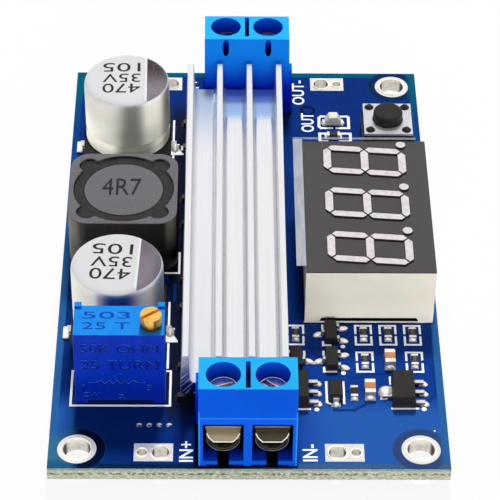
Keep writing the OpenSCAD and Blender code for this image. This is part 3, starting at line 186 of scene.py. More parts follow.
def dimmed(colour, share):
    """A colour at a share of its brightness."""
    return tuple(value * share for value in colour)


# Finishes

class Wire:
    """A shader socket that takes part in Python expressions."""

    def __init__(self, paint, socket):
        self.paint, self.socket = paint, socket

    def math(self, operation, other=None, turned=False):
        values = [self] if other is None else [other, self] if turned else [self, other]
        return self.paint.node("ShaderNodeMath", {"operation": operation}, dict(enumerate(values)))

    def __add__(self, other):
        return self.math("ADD", other)

    def __sub__(self, other):
        return self.math("SUBTRACT", other)

    def __rsub__(self, other):
        return self.math("SUBTRACT", other, True)

    def __mul__(self, other):
        return self.math("MULTIPLY", other)

    def __neg__(self):
        return 0.0 - self

    def __abs__(self):
        return self.math("ABSOLUTE")

    __radd__ = __add__
    __rmul__ = __mul__

    def least(self, other):
        return self.math("MINIMUM", other)

    def most(self, other):
        return self.math("MAXIMUM", other)

    def rise(self, low, high):
        """Goes smoothly from 0 at low to 1 at high."""
        return self.paint.node(
            "ShaderNodeMapRange", {"interpolation_type": "SMOOTHSTEP"}, {0: self, 1: low, 2: high})

    def fall(self, low, high):
        """Goes smoothly from 1 at low to 0 at high."""
        return 1 - self.rise(low, high)

    def near(self, spot, inner, outer):
        """Goes smoothly from 1 within the inner distance of a spot to 0 at the outer one."""
        return abs(self - spot).fall(inner, outer)

    def other(self, name):
        """Another output of the same node."""
        return Wire(self.paint, self.socket.node.outputs[name])


def opaque(colour):
    """A colour as a socket takes it."""
    return colour if isinstance(colour, Wire) else (*colour, 1.0)


class Paint:
    """The node tree of a material or a world under construction, with its coordinates in millimetres."""

    def __init__(self, owner):
        owner.use_nodes = True
        self.owner, self.tree = owner, owner.node_tree
        self.tree.nodes.clear()
        place = self.node("ShaderNodeTexCoord", out="Object")
        self.at = self.node("ShaderNodeVectorMath", {"operation": "SCALE"}, {0: place, "Scale": 1 / MM})
        self.x = self.node("ShaderNodeSeparateXYZ", inputs={0: self.at}, out="X")
        self.y, self.z = self.x.other("Y"), self.x.other("Z")

    def node(self, kind, settings=None, inputs=None, out=0):
        node = self.tree.nodes.new(kind)
        for name, value in (settings or {}).items():
            setattr(node, name, value)
        for name, value in (inputs or {}).items():
            if isinstance(value, Wire):
                self.tree.links.new(value.socket, node.inputs[name])
            else:
                node.inputs[name].default_value = value
        return Wire(self, node.outputs[out]) if len(node.outputs) else None

    def stretched(self, x, y, z):
        """Coordinates on which a texture shrinks by these factors."""
        return self.node("ShaderNodeVectorMath", {"operation": "MULTIPLY"}, {0: self.at, 1: (x, y, z)})

    def noise(self, scale, detail=3.0, where=None):
        return self.node("ShaderNodeTexNoise", inputs={
            "Vector": where or self.at, "Scale": scale, "Detail": detail}, out=0)

    def facing(self, axis):
        """How far a face points along an axis: for Z, 1 on a level top and 0 on an upright side."""
        normal = self.node("ShaderNodeNewGeometry", out="True Normal")
        return self.node("ShaderNodeSeparateXYZ", inputs={0: normal}, out=axis)

    def beneath(self, *nodes):
        """1 on the board's upper face under these pieces."""
        covered = self.z.rise(BOARD_TOP - 0.3, BOARD_TOP - 0.1)
        outside = None
        for node in nodes:
            spot, (low, high) = middle(node), corners(node)
            across = abs(self.x - spot.x) - (high.x - low.x) / 2
            away = across.most(abs(self.y - spot.y) - (high.y - low.y) / 2)
            outside = outside.least(away) if outside else away
        return covered * outside.fall(-0.05, 0.3)

    def mix(self, share, first, second):
        """The first colour where share is 0 and the second where it is 1."""
        inputs = {0: share, 6: opaque(first), 7: opaque(second)}
        return self.node("ShaderNodeMix", {"data_type": "RGBA"}, inputs, 2)

    def shade(self, colour, amount, share):
        """Darkens a colour by up to an amount where share is 1."""
        return self.mix(share, colour, dimmed(colour, 1 - amount))

    def bump(self, height, depth):
        return self.node("ShaderNodeBump", inputs={"Height": height, "Distance": depth * MM})

    def finish(self, base, rough, metal=0.0, normal=None, shine=0.5, glow=0.0, glow_tone=(1, 1, 1),
               **others):
        """Ends the material in a surface of these values."""
        inputs = {
            "Base Color": opaque(base), "Roughness": rough, "Metallic": metal, "Specular IOR Level": shine,
            "Emission Color": opaque(glow_tone), "Emission Strength": glow, **others}
        if normal:
            inputs["Normal"] = normal
        shader = self.node("ShaderNodeBsdfPrincipled", inputs=inputs)
        self.node("ShaderNodeOutputMaterial", inputs={0: shader})
        return self.owner


def finish_of(maker, *details):
    """A finish by its maker, made once for each set of details."""
    name = "_".join([maker.__name__, *(str(detail) for detail in details), "finish"])
    return bpy.data.materials.get(name) or maker(Paint(bpy.data.materials.new(name)), *details)


def covered_mask(paint, cloth, upper):
    """Mask over copper, with painted light among the chips, where the display's shadow falls, and lighter at
    the open front of the board, partly from the copper pour there and partly painted light.
    """
    mask = colours().mask
    chip_field_light = paint.x.rise(3.0, 6.0) * (-paint.y).rise(10.5, 11.5) * upper
    copper_and_light_side = paint.x.rise(3.0, 9.0).most((-paint.x).rise(18.2, 18.8))
    copper_and_light_front = copper_and_light_side * (-paint.y).rise(22.0, 26.0) * upper
    base = paint.mix(cloth.rise(0.3, 0.7), mask, dimmed(mask, 0.86))
    base = paint.mix(chip_field_light, base, tone(17, 60, 146))
    return paint.mix(copper_and_light_front, base, tone(40, 92, 174))


def bare_mask(paint, ringed):
    """Mask over bare laminate, along the margins and around the mounting holes, darker towards the rear,
    with painted shade on the front margin and on the rings on the left.
    """
    rear = paint.y.rise(-1.0, 1.0)
    sides = paint.mix(paint.y.rise(-5.0, 22.0), colours().mask_bare, tone(14, 68, 132))
    sides = paint.mix(paint.y.rise(24.0, 31.0), sides, tone(4, 92, 120))
    front_left = (-paint.y).rise(27.5, 30.5) * (-paint.x).rise(17.0, 19.0)
    sides = paint.mix(front_left, sides, tone(54, 112, 148))
    # Painted shade on the front margin where the trimmer, the heatsink and the input terminal cast shadows
    front = paint.mix(paint.x.rise(-17.5, -15.5), tone(34, 92, 132), tone(8, 36, 78))
    front = paint.mix(paint.x.rise(-1.0, 1.0), front, tone(60, 96, 138))
    ends = paint.mix(rear, front, tone(4, 90, 116))
    margins = paint.mix(abs(paint.y).rise(31.8, 33.0), sides, ends)
    rings = paint.mix(rear, tone(48, 72, 120), tone(12, 42, 92))
    # Painted shade on the rings on the left
    rings = paint.mix((-paint.x).rise(-1.0, 1.0), rings, tone(4, 20, 56))
    outermost = (-paint.x).rise(17.6, 18.8).most(abs(paint.x).rise(19.6, 20.6))
    rings = paint.mix(outermost, rings, margins)
    return paint.mix(ringed, margins, rings)


def cut_laminate(paint, fibres):
    """The board's cut edge: glass fibres, and a darker seam halfway up."""
    seam = paint.z.near(BOARD_TOP / 2, 0.08, 0.24) * paint.noise(2.2, 3.0).rise(0.46, 0.56)
    edge = paint.mix(fibres * 0.6, colours().laminate, tone(124, 136, 112))
    edge = paint.mix(seam * 0.7, edge, tone(62, 70, 54))
    return paint.mix(paint.z.rise(1.1, 1.5) * 0.6, edge, tone(96, 140, 142))


def solder_mask(paint):
    """The board: blue mask on its faces, and laminate round its edge."""
    across, along = abs(paint.x), abs(paint.y)
    upper = paint.z.rise(1.3, 1.5)
    margin = (across - (HALF_W - 0.8)).most(along - (HALF_L - 0.8))
    from_hole_x, from_hole_y = across - HOLE_X, along - HOLE_Y
    ringed = (from_hole_x * from_hole_x + from_hole_y * from_hole_y).math("SQRT").fall(2.9, 3.15)
    copper = margin.fall(-0.08, 0.08) * (1 - ringed)
    cloth = paint.noise(0.35, 4.0)
    mask = paint.mix(copper, bare_mask(paint, ringed), covered_mask(paint, cloth, upper))
    # Painted shade on the strip left of the heatsink
    heatsink_shade = paint.x.near(SHADE_STRIP_X, 1.3, 1.8) * along.fall(24.0, 29.0) * upper
    mask = paint.mix(heatsink_shade * 0.9, mask, tone(22, 26, 38))
    shadow = paint.beneath("display_case", "input_terminal_housing", "output_terminal_housing")
    mask = paint.mix(shadow, mask, tone(3, 12, 26))
    cut = (across - (HALF_W - 0.02)).most(along - (HALF_L - 0.02)).rise(0.0, 0.01)
    fibres = paint.noise(1.0, 4.0, paint.stretched(2.6, 2.6, 8.0)).rise(0.45, 0.62)
    warp, weft = (paint.noise(1.0, 1.0, paint.stretched(*pull)) for pull in ((6, 0.8, 1), (0.8, 6, 1)))
    height = copper * 0.6 + (warp + weft) * 0.1 * (1 - cut) + fibres * cut * 1.5
    return paint.finish(paint.mix(cut, mask, cut_laminate(paint, fibres)), 0.3 + cut * 0.45 + cloth * 0.08,
                        normal=paint.bump(height, 0.03), shine=0.02)


def traced_mask(paint):
    """Mask that a trace lifts, a little brighter than the rest."""
    mask, cloth = colours().mask, paint.noise(0.6, 3.0)
    bright = tuple(min(1.0, value) for value in dimmed(mask, 1.25))
    return paint.finish(paint.mix(cloth, bright, mask), 0.28 + cloth * 0.1, normal=paint.bump(cloth, 0.01),
                        shine=0.02)


def bare_ring(paint):
    """A dark ring in the mask."""
    mask, cloth = colours().mask, paint.noise(0.8, 3.0)
    base = paint.mix(cloth, dimmed(mask, 0.2), dimmed(mask, 0.32))
    return paint.finish(base, 0.35, normal=paint.bump(cloth, 0.01), shine=0.02)


def print_ink(paint):
    # Ink with a faint painted glow that keeps it white in the shade
    speckle = paint.noise(5.0, 4.0)
    base = paint.shade(colours().ink, 0.12, speckle.rise(0.45, 0.75))
    return paint.finish(base, 0.55 + speckle * 0.2, normal=paint.bump(speckle, 0.01), shine=0.3,
                        glow=0.25)


def faint_ink(paint):
    speckle = paint.noise(9.0, 3.0)
    base = paint.mix(speckle.rise(0.4, 0.7), tone(150, 150, 148), tone(92, 92, 92))
    return paint.finish(base, 0.6, normal=paint.bump(speckle, 0.004), shine=0.2)


def dark_ink(paint):
    speckle = paint.noise(5.0, 4.0)
    base = paint.mix(speckle.rise(0.5, 0.8), tone(34, 33, 40), tone(74, 72, 80))
    return paint.finish(base, 0.6, normal=paint.bump(speckle, 0.005), shine=0.2)


def tinned(paint, wave):
    """Tinned copper, darkened by painted shade beside the heatsink and dark in the vias, with a painted glow
    that is strongest on the left; wave is its depth of ripple in micrometres.
    """
    ripple = paint.noise(2.2, 4.0)
    grain = paint.noise(9.0, 2.0)
    rear_lead, front_lead = (paint.y.near(spot, 0.9, 1.0) for spot in CAN_LEADS_Y)
    # Painted shade on the pads beside the heatsink, sparing the capacitor leads
    heatsink_shade = paint.x.near(SHADE_PADS_X, 1.5, 1.6) * abs(paint.y).fall(25.0, 26.0)
    heatsink_shade = heatsink_shade * (1 - rear_lead.most(front_lead))
    via = paint.y.near(VIAS_Y, 0.6, 0.7) * (-paint.x).rise(7.0, 7.5)
    base = paint.shade(colours().tin, 0.3, grain.rise(0.55, 0.8) * 0.6)
    base = paint.mix(heatsink_shade, base, tone(34, 36, 42))
    base = paint.mix(via * paint.noise(3.0, 2.0).rise(0.36, 0.52), base, tone(40, 52, 88))
    painted_glow = (1 - heatsink_shade) * (1 - via) * (0.15 + (-paint.x).rise(0.0, 6.0) * 0.85)
    return paint.finish(base, 0.34 + ripple * 0.2, 0.45, paint.bump(ripple + grain * 0.2, wave * MM),
                        glow=0.14, glow_tone=paint.mix(painted_glow, (0, 0, 0), (1, 1, 1)))


def tinned_leg(paint, dull):
    """Tinned sheet with a painted highlight on its level faces and painted shade on its upright sides; dull
    is its loss of light in percent.
    """
    tin = dimmed(colours().tin, 1 - dull / 100)
    ripple = paint.noise(2.6, 3.0)
    top = paint.shade(tin, 0.2, ripple.rise(0.5, 0.8))
    base = paint.mix(paint.facing("Z").rise(0.1, 0.5), dimmed(tin, 0.2), top)
    return paint.finish(base, 0.26 + ripple * 0.2, 0.75, paint.bump(ripple, 0.01))


def soldered(paint):
    # Painted highlight on the level faces, painted shade on the steep ones, and a faint painted glow
    ripple = paint.noise(3.0, 3.0)
    top = paint.shade(tone(250, 246, 238), 0.12, ripple.rise(0.5, 0.8))
    base = paint.mix(paint.facing("Z").rise(0.02, 0.25), tone(126, 118, 108), top)
    return paint.finish(base, 0.2 + ripple * 0.15, 0.55, paint.bump(ripple, 0.03),
                        glow=0.08, glow_tone=(1, 0.98, 0.95))


def plated_lining(paint):
    """Plating in a hole, with painted shade to the left and right and a painted glow elsewhere."""
    ripple = paint.noise(2.0, 4.0)
    aslant = abs(paint.facing("X")).rise(0.66, 0.86)
    base = paint.mix(ripple.rise(0.35, 0.7), tone(234, 231, 220), tone(202, 196, 180))
    base = paint.mix(aslant * 0.95, base, tone(44, 40, 36))
    return paint.finish(base, 0.3 + ripple * 0.2, 0.3 - aslant * 0.3, paint.bump(ripple, 0.02),
                        shine=0.15, glow=0.22, glow_tone=paint.mix(aslant, (1, 0.99, 0.94), (0, 0, 0)))


def terminal_plastic(paint):
    """Blue moulding: a painted highlight on top and along its edges, painted light that grows up its back,
    and painted shade in its wire openings and in the notches behind.
    """
    c = colours()
    face = corners("output_terminal_housing")[1].y
    along, off_pole = abs(paint.y), abs(abs(paint.x) - POLE_X)
    depth = face - along
    cloud = paint.noise(0.3, 2.0).rise(0.35, 0.7)
    pits = paint.noise(14.0, 2.0)
    aslant = abs(paint.facing("X"))
    outer = (abs(paint.x) - 4.7).most(along - (face - 0.3)).rise(0.0, 0.02)
    edge = aslant.rise(0.12, 0.3) * aslant.fall(0.93, 0.99) * outer
    bead = paint.z.near(8.68, 0.1, 0.16) * depth.fall(0.25, 0.3)
    centred = paint.x + (-paint.y).rise(-1.0, 1.0) * INPUT_SHIFT
    rim = abs(centred).rise(4.9, 4.98) * depth.fall(0.3, 0.35)
    # Painted light that grows up the back
    back = paint.mix(paint.z.rise(5.0, 11.0), tone(0, 36, 218), tone(10, 140, 255))
    side = paint.mix(depth.rise(5.9, 6.0), paint.shade(c.terminal_side, 0.08, cloud), back)
    # Painted highlights along the outer edges, the bead and the rim of the wire face
    side = paint.mix((edge * 0.8).most(bead * 0.45).most(rim * 0.6), side, tone(52, 166, 252))
    # Painted light on the top faces
    above = paint.facing("Z").rise(0.6, 0.95) * paint.z.rise(8.1, 8.6)
    base = paint.mix(above, side, paint.shade(c.terminal_top, 0.06, cloud))
    # Painted shade that deepens into the wire openings
    opening = off_pole.fall(2.3, 2.36) * depth.rise(0.35, 0.45) * depth.fall(6.6, 6.7)
    opening = opening * paint.z.fall(7.8, 7.85)
    opening_shade = depth.rise(0.4, 2.6).most(paint.z.rise(2.9, 4.6)).most(paint.z.fall(2.26, 2.33))
    base = paint.mix(opening, base, paint.mix(opening_shade, tone(8, 62, 226), tone(1, 5, 36)))
    # Painted shade that deepens down into the notches behind
    sunk = 11.6 - (depth - 6.05) * 1.67 - paint.z
    notch = off_pole.fall(0.6, 0.65) * depth.rise(5.95, 6.0) * depth.fall(7.15, 7.2) * sunk.rise(0.03, 0.12)
    notch_shade = paint.mix(sunk.rise(0.0, 1.5), tone(0, 34, 176), tone(0, 3, 62))
    base = paint.mix(notch * paint.z.rise(9.0, 9.1), base, notch_shade)
    return paint.finish(base, 0.4 + pits * 0.12, normal=paint.bump(pits, 0.006), shine=0.1)


def trimmer_plastic(paint):
    # Painted light on the top faces, painted shade low on the upright sides, and painted highlights along
    # the upright edges
    c = colours()
    up = paint.facing("Z").rise(0.35, 0.95)
    cloud = paint.noise(0.8, 3.0)
    pits = paint.noise(12.0, 2.0)
    aslant = abs(paint.facing("X"))
    edge = aslant.rise(0.12, 0.3) * aslant.fall(0.93, 0.99)
    side = paint.shade(c.trimmer_side, 0.2, cloud.rise(0.4, 0.75))
    side = paint.mix(paint.z.rise(2.0, 7.0), tone(0, 33, 148), side)
    side = paint.mix(edge * 0.7, side, tone(40, 130, 246))
    top = paint.shade(c.trimmer_top, 0.1, cloud.rise(0.4, 0.75))
    return paint.finish(paint.mix(up, side, top), 0.34 + pits * 0.12, normal=paint.bump(pits, 0.01),
                        shine=0.16)


def raised_blue(paint):
    """Letters on the trimmer's front, with painted light on their upper edges and painted shade on their
    fronts.
    """
    pits = paint.noise(12.0, 2.0)
    base = paint.mix(paint.facing("Z").rise(0.1, 0.6), tone(0, 24, 122), tone(70, 150, 252))
    return paint.finish(base, 0.34 + pits * 0.12, normal=paint.bump(pits, 0.01), shine=0.16)


def trimmer_ink(paint):
    speckle = paint.noise(6.0, 3.0)
    base = paint.mix(speckle.rise(0.5, 0.8), tone(12, 60, 170), tone(24, 96, 214))
    return paint.finish(base, 0.5, normal=paint.bump(speckle, 0.005), shine=0.2)


def plated_brass(paint, level):
    """Plated sheet with bright cut edges, painted shade from halfway up and a painted shadow of the housing
    along its top; level is that of its upright faces, in percent.
    """
    flat = abs(paint.facing("Y")).rise(0.75, 0.97)
    stain = paint.noise(0.7, 2.0)
    pale, dull = dimmed(tone(176, 164, 138), level / 100), dimmed(tone(112, 98, 74), level / 100)
    shaded = paint.z.rise(4.4, 5.6) * (1 - paint.z.rise(6.0, 7.4) * 0.5)
    plate = paint.mix(shaded * 0.7 + stain * 0.3, pale, dull)
    # Painted shadow of the housing along the top
    plate = paint.mix(paint.z.rise(6.4, 7.3) * 0.6, plate, tone(46, 40, 36))
    base = paint.mix(flat, tone(246, 241, 226), plate)
    return paint.finish(base, 0.22 + stain * 0.2, 1.0, paint.bump(stain, 0.01))


def rolled_lip(paint):
    # Bright metal with a painted glow
    haze = paint.noise(3.0, 3.0)
    base = paint.shade(tone(252, 247, 230), 0.2, haze.rise(0.45, 0.75))
    return paint.finish(base, 0.2 + haze * 0.15, 0.6, paint.bump(haze, 0.005),
                        glow=0.22, glow_tone=(1, 0.97, 0.88))


def zinc_steel(paint, level):
    """Plated steel; level is its brightness in percent."""
    haze = paint.noise(2.5, 4.0)
    pale, dull = dimmed(tone(226, 229, 234), level / 100), dimmed(tone(170, 174, 182), level / 100)
    base = paint.mix(haze.rise(0.35, 0.7), pale, dull)
    return paint.finish(base, 0.2 + haze * 0.22, 0.85, paint.bump(haze, 0.008))


def drawn_aluminium(paint):
    """Draw lines along the heatsink, saw marks on its two ends over painted shade that deepens downwards,
    and painted reflections of the rear terminal at the rear of its floor.
    """
    low, high = corners("heatsink")
    lines = paint.noise(1.0, 2.0, paint.stretched(7.0, 0.05, 7.0))
    cloud = paint.noise(0.25, 2.0)
    sawn = (abs(paint.y) - (high.y - 0.06)).rise(0.0, 0.04)
    slant = paint.node("ShaderNodeVectorRotate", {"rotation_type": "Y_AXIS"},
                       {"Vector": paint.at, "Angle": math.radians(-40)})
    marks = paint.noise(1.0, 1.0, paint.node(
        "ShaderNodeVectorMath", {"operation": "MULTIPLY"}, {0: slant, 1: (3.2, 0.0, 0.25)}))
    floor = paint.z.fall(low.z + 2.0, low.z + 2.4)
    ledge = paint.x.fall(low.x + 3.1, low.x + 3.4)
    channels = floor * (1 - ledge)
    start, end = SINK_REFLECTION
    terminal_reflection = paint.y.rise(start, start + 0.6) * paint.y.fall(end, end + 1.0)
    drawn = paint.shade(colours().sink, 0.05, lines.rise(0.35, 0.75))
    # Painted reflections of the rear terminal: on the ledge, and at the rear of the channels
    drawn = paint.mix(floor * ledge * paint.y.rise(12.0, 24.0), drawn, tone(186, 203, 224))
    drawn = paint.mix(channels * paint.y.rise(end, end + 1.0) * 0.5, drawn, tone(160, 226, 246))
    drawn = paint.mix(channels * terminal_reflection * 0.55, drawn, tone(156, 206, 236))
    # Painted shade and reflection of the blue board, deepening down the sawn ends
    end_shade = paint.mix(paint.z.rise(5.2, 6.6), tone(20, 42, 118), tone(104, 126, 186))
    end_shade = paint.mix(paint.z.rise(6.6, 9.0), end_shade, tone(206, 211, 222))
    ends = paint.mix(marks.rise(0.5, 0.58), end_shade, tone(222, 230, 242))
    dull = ledge * (1 - sawn)
    rough = 0.1 + lines * 0.06 + sawn * 0.2 + cloud * 0.06 + dull * 0.3
    metal = 0.82 + sawn * 0.1 - dull * 0.4 - channels * terminal_reflection * 0.35
    height = lines * (1 - sawn) + marks * sawn * 2.5
    return paint.finish(paint.mix(sawn, drawn, ends), rough, metal, paint.bump(height, 0.008))


def adhesive(paint):
    lumps = paint.noise(1.2, 4.0)
    return paint.finish(paint.shade(tone(240, 238, 232), 0.15, lumps), 0.6, normal=paint.bump(lumps, 0.05))


def moulded_black(paint):
    grain = paint.noise(11.0, 3.0)
    dust = paint.noise(2.0, 4.0)
    base = paint.mix(dust.rise(0.5, 0.85), colours().black, tone(46, 44, 41))
    return paint.finish(base, 0.5 + grain * 0.2, normal=paint.bump(grain, 0.02), shine=0.4)


def can_aluminium(paint, node):
    """Bright can: a printed segment on the right of its top, with painted shade across it, and painted bands
    of light and shadow with a painted glow down its front.
    """
    low, high = corners(node)
    radius = (high.x - low.x) / 2
    east, north = paint.x - (low.x + high.x) / 2, paint.y - (low.y + high.y) / 2
    out = (east * east + north * north).math("SQRT")
    angle = math.radians(CAN_TURN[node])
    aside = east * math.cos(angle) + north * math.sin(angle)
    around = aside * (1 / radius)
    haze = paint.noise(0.4, 2.0)
    grain = paint.noise(8.0, 4.0)
    flat = (paint.z - (high.z - 0.1)).rise(0.0, 0.05)
    above = paint.z.rise(high.z - 0.9, high.z - 0.3)
    metal = paint.mix(above, paint.shade(colours().can, 0.05, haze.rise(0.35, 0.7)), tone(222, 222, 224))
    edge = radius * 0.48
    inside = (paint.z - (high.z - 0.3)).rise(0.0, 0.05) * out.fall(radius - 0.24, radius - 0.18)
    printed = inside * aside.rise(edge - 0.03, edge + 0.03)
    line = inside * aside.near(edge - 0.14, 0.05, 0.12)
    top = paint.shade(tone(221, 221, 223), 0.08, grain.rise(0.5, 0.75))
    top = paint.mix(line * 0.7, top, tone(246, 246, 247))
    # Painted bands of light and shadow and a painted glow, down the front of the side
    side = paint.z.fall(high.z - 0.5, high.z - 0.22) * (1 - printed) * (-north).rise(-0.2, 1.5)
    left, right = around.fall(-0.4, 0.0), around.rise(0.25, 0.55) * around.fall(0.72, 0.92)
    # Painted shade across the printed segment on each can
    if node.startswith("front"):
        shaded = aside.rise(edge + 0.8, radius - 0.2).most(north.rise(-1.0, 3.0) * 0.8)
        mark = paint.mix(shaded, tone(132, 122, 134), colours().mark)
        shine, shadow = 0.3, tone(84, 130, 168)
        band = around.near(0.1, 0.12, 0.55) * 0.95
        sheen, lower_glow = left * 0.2 + right * 0.16, 0.0
    else:
        mark = paint.mix(north.rise(-2.4, 2.2), tone(132, 124, 132), tone(50, 42, 48))
        shine, shadow = 0.12, tone(44, 44, 36)
        low_down, foot = paint.z.fall(6.0, 9.5), paint.z.fall(4.9, 5.3)
        band = (around.near(0.12, 0.05, 0.36) * 0.6).most(around.near(0.2, 0.25, 0.6) * foot * 0.9)
        sheen, lower_glow = left * (low_down * 0.2 + 0.12) + right * (0.36 - low_down * 0.12), low_down * 0.12
    band = band.most(around.rise(0.78, 0.97) * 0.75)
    mark = paint.mix(grain.rise(0.58, 0.7), mark, tone(150, 143, 150))
    base = paint.mix(printed, paint.mix(flat, metal, top), mark)
    base = paint.mix(band * side, base, shadow)
    painted_glow = paint.mix((sheen * (1 - band) + lower_glow) * side, (0, 0, 0), (1.0, 0.98, 0.84))
    rough = 0.3 + haze * 0.06 + flat * 0.12 + printed * 0.1
    return paint.finish(base, rough, shine * (1 - flat) + flat * 0.3, paint.bump(grain * flat, 0.005),
                        glow=1.0, glow_tone=painted_glow)


def base_plastic(paint):
    grain = paint.noise(9.0, 3.0)
    base = paint.mix(grain.rise(0.4, 0.8), tone(17, 16, 17), tone(34, 33, 33))
    return paint.finish(base, 0.38 + grain * 0.15, normal=paint.bump(grain, 0.015), shine=0.3)


def fired_ferrite(paint):
    """Ferrite that is ground on top and left as fired on its sides, with painted highlights on its rounded
    upright corners.
    """
    c = colours()
    up = paint.facing("Z").rise(0.55, 0.95)
    grain = paint.noise(7.0, 5.0)
    scuff = paint.noise(1.0, 3.0, paint.stretched(2.5, 0.7, 1.0))
    ground = paint.mix(grain.rise(0.3, 0.75), c.ferrite_top, tone(92, 90, 94))
    scuffed = paint.mix(scuff.rise(0.6, 0.8) * 0.35, ground, tone(138, 136, 138))
    turned_away = abs(paint.facing("X"))
    # Painted highlights on the rounded upright corners
    corner = turned_away.rise(0.3, 0.6) * turned_away.fall(0.86, 0.99) * paint.z.rise(4.0, 8.0)
    side = paint.mix(corner * 0.6, paint.shade(c.ferrite_side, 0.4, scuff), tone(132, 126, 114))
    return paint.finish(paint.mix(up, side, scuffed), 0.34 + up * 0.2 + grain * 0.15,
                        normal=paint.bump(grain, 0.03), shine=0.45)


def dark_glue(paint):
    lumps = paint.noise(1.6, 4.0)
    base = paint.mix(lumps.rise(0.35, 0.7), tone(18, 17, 18), tone(38, 37, 38))
    return paint.finish(base, 0.34 + lumps * 0.3, normal=paint.bump(lumps, 0.1), shine=0.35)


def copper_wire(paint):
    turns = paint.noise(1.0, 1.0, paint.stretched(0.2, 0.2, 3.0))
    return paint.finish(paint.shade(tone(176, 92, 48), 0.4, turns), 0.3, 0.9, paint.bump(turns, 0.2))


def turned_brass(paint):
    rings = paint.noise(1.0, 2.0, paint.stretched(1.0, 1.0, 16.0))
    stain = paint.noise(1.8, 4.0)
    top = corners("trimmer_screw")[1].z
    base = paint.mix(stain.rise(0.5, 0.85), colours().brass, tone(196, 140, 58))
    # Painted shade down the lower side of the head and the shank
    base = paint.mix(paint.z.rise(top - 1.3, top - 0.5), tone(150, 92, 20), base)
    return paint.finish(base, 0.14 + rings * 0.14, 0.84, paint.bump(rings, 0.01))


def cream_plastic(paint):
    cloud = paint.noise(0.3, 3.0)
    pits = paint.noise(10.0, 2.0)
    base = paint.mix(cloud.rise(0.35, 0.7), colours().case, tone(235, 228, 210))
    # Painted light towards the bottom, where the board shades the case
    base = paint.mix(paint.z.rise(1.8, 5.5), tone(255, 248, 232), base)
    return paint.finish(base, 0.42 + pits * 0.12, normal=paint.bump(pits, 0.008), shine=0.3)


def face_film(paint):
    grain = paint.noise(12.0, 3.0)
    scuff = paint.noise(1.0, 3.0, paint.stretched(0.5, 3.0, 1.0))
    worn = grain.rise(0.35, 0.75) * 0.5 + scuff.rise(0.6, 0.85) * 0.2
    return paint.finish(paint.mix(worn, colours().face, tone(84, 81, 83)), 0.5 + grain * 0.15,
                        normal=paint.bump(grain, 0.01), shine=0.3)


def segment_epoxy(paint):
    cloud = paint.noise(1.5, 3.0)
    base = paint.mix(cloud.rise(0.35, 0.75), colours().segment, tone(206, 198, 200))
    # Painted shade on the upright sides of the raised segments
    base = paint.mix(paint.facing("Z").rise(0.3, 0.8), tone(44, 42, 42), base)
    return paint.finish(base, 0.3 + cloud * 0.15, normal=paint.bump(cloud, 0.01), shine=0.35)


def well_shade(paint):
    grain = paint.noise(12.0, 3.0)
    base = paint.mix(grain.rise(0.35, 0.75), tone(30, 29, 30), tone(44, 42, 43))
    return paint.finish(base, 0.6 + grain * 0.1, normal=paint.bump(grain, 0.01), shine=0.1)


def inner_board(paint):
    grain = paint.noise(4.0, 3.0)
    base = paint.mix(grain, tone(26, 62, 38), tone(44, 84, 52))
    return paint.finish(base, 0.45, normal=paint.bump(grain, 0.02))


def clear_film(paint):
    """Film that shows only where it lies past the display's face."""
    low, high = corners("display_face")
    crease = paint.noise(1.0, 3.0, paint.stretched(3.0, 0.35, 1.0))
    behind = (paint.y - high.y).rise(-0.05, 0.02)
    loose = (low.x - paint.x).rise(-0.05, 0.02).most(behind)
    base = paint.mix(crease.rise(0.35, 0.7), tone(200, 204, 212), tone(172, 178, 190))
    return paint.finish(base, 0.3 + crease * 0.15, normal=paint.bump(crease, 0.03), shine=0.1,
                        Alpha=loose * (0.6 + crease * 0.25) * (1 - behind * 0.6))


def spring_steel(paint):
    lines = paint.noise(1.0, 2.0, paint.stretched(6.0, 0.4, 1.0))
    base = paint.shade(tone(226, 223, 230), 0.12, lines.rise(0.4, 0.75))
    return paint.finish(base, 0.34 + lines * 0.15, 0.6, paint.bump(lines, 0.01))


def lamp_white(paint):
    cloud = paint.noise(3.0, 3.0)
    return paint.finish(paint.mix(cloud, tone(238, 234, 220), tone(222, 214, 190)), 0.4,
                        normal=paint.bump(cloud, 0.01))


def lamp_lens(paint):
    cloud = paint.noise(2.0, 3.0)
    base = paint.mix(cloud.rise(0.35, 0.7), tone(244, 242, 230), tone(222, 232, 212))
    return paint.finish(base, 0.16 + cloud * 0.1, normal=paint.bump(cloud, 0.02),
                        **{"Subsurface Weight": 0.5, "Subsurface Radius": (0.0008, 0.0008, 0.0006)})


def gilt_end(paint):
    ripple = paint.noise(4.0, 3.0)
    base = paint.mix(ripple.rise(0.4, 0.7), tone(232, 226, 216), tone(226, 206, 160))
    return paint.finish(base, 0.3 + ripple * 0.2, 0.6, paint.bump(ripple, 0.02))


def resistor_body(paint):
    """Black glaze on a grey ceramic chip."""
    top = corners("chip_resistors")[1].z
    grain = paint.noise(10.0, 3.0)
    ceramic, glaze = paint.shade(tone(120, 116, 108), 0.4, grain), paint.shade(tone(28, 27, 28), 0.4, grain)
    base = paint.mix(paint.z.rise(top - 0.16, top - 0.12), ceramic, glaze)
    return paint.finish(base, 0.4 + grain * 0.1, normal=paint.bump(grain, 0.01))


def ceramic_tan(paint):
    grain = paint.noise(8.0, 4.0)
    base = paint.mix(grain.rise(0.35, 0.75), colours().tan, tone(182, 118, 74))
    return paint.finish(base, 0.36 + grain * 0.15, normal=paint.bump(grain, 0.015))


# Modelling

def only(*objects):
    """Selects these objects alone, the last of them active."""
    bpy.ops.object.select_all(action="DESELECT")
    for piece in objects:
        piece.select_set(True)
    bpy.context.view_layer.objects.active = objects[-1] if objects else None


def edit(piece):
    """Opens a piece for editing, with all of it selected."""
    only(piece)
    bpy.ops.object.mode_set(mode="EDIT")
    bpy.ops.mesh.select_all(action="SELECT")


def leave():
    """Ends the editing."""
    bpy.ops.object.mode_set(mode="OBJECT")


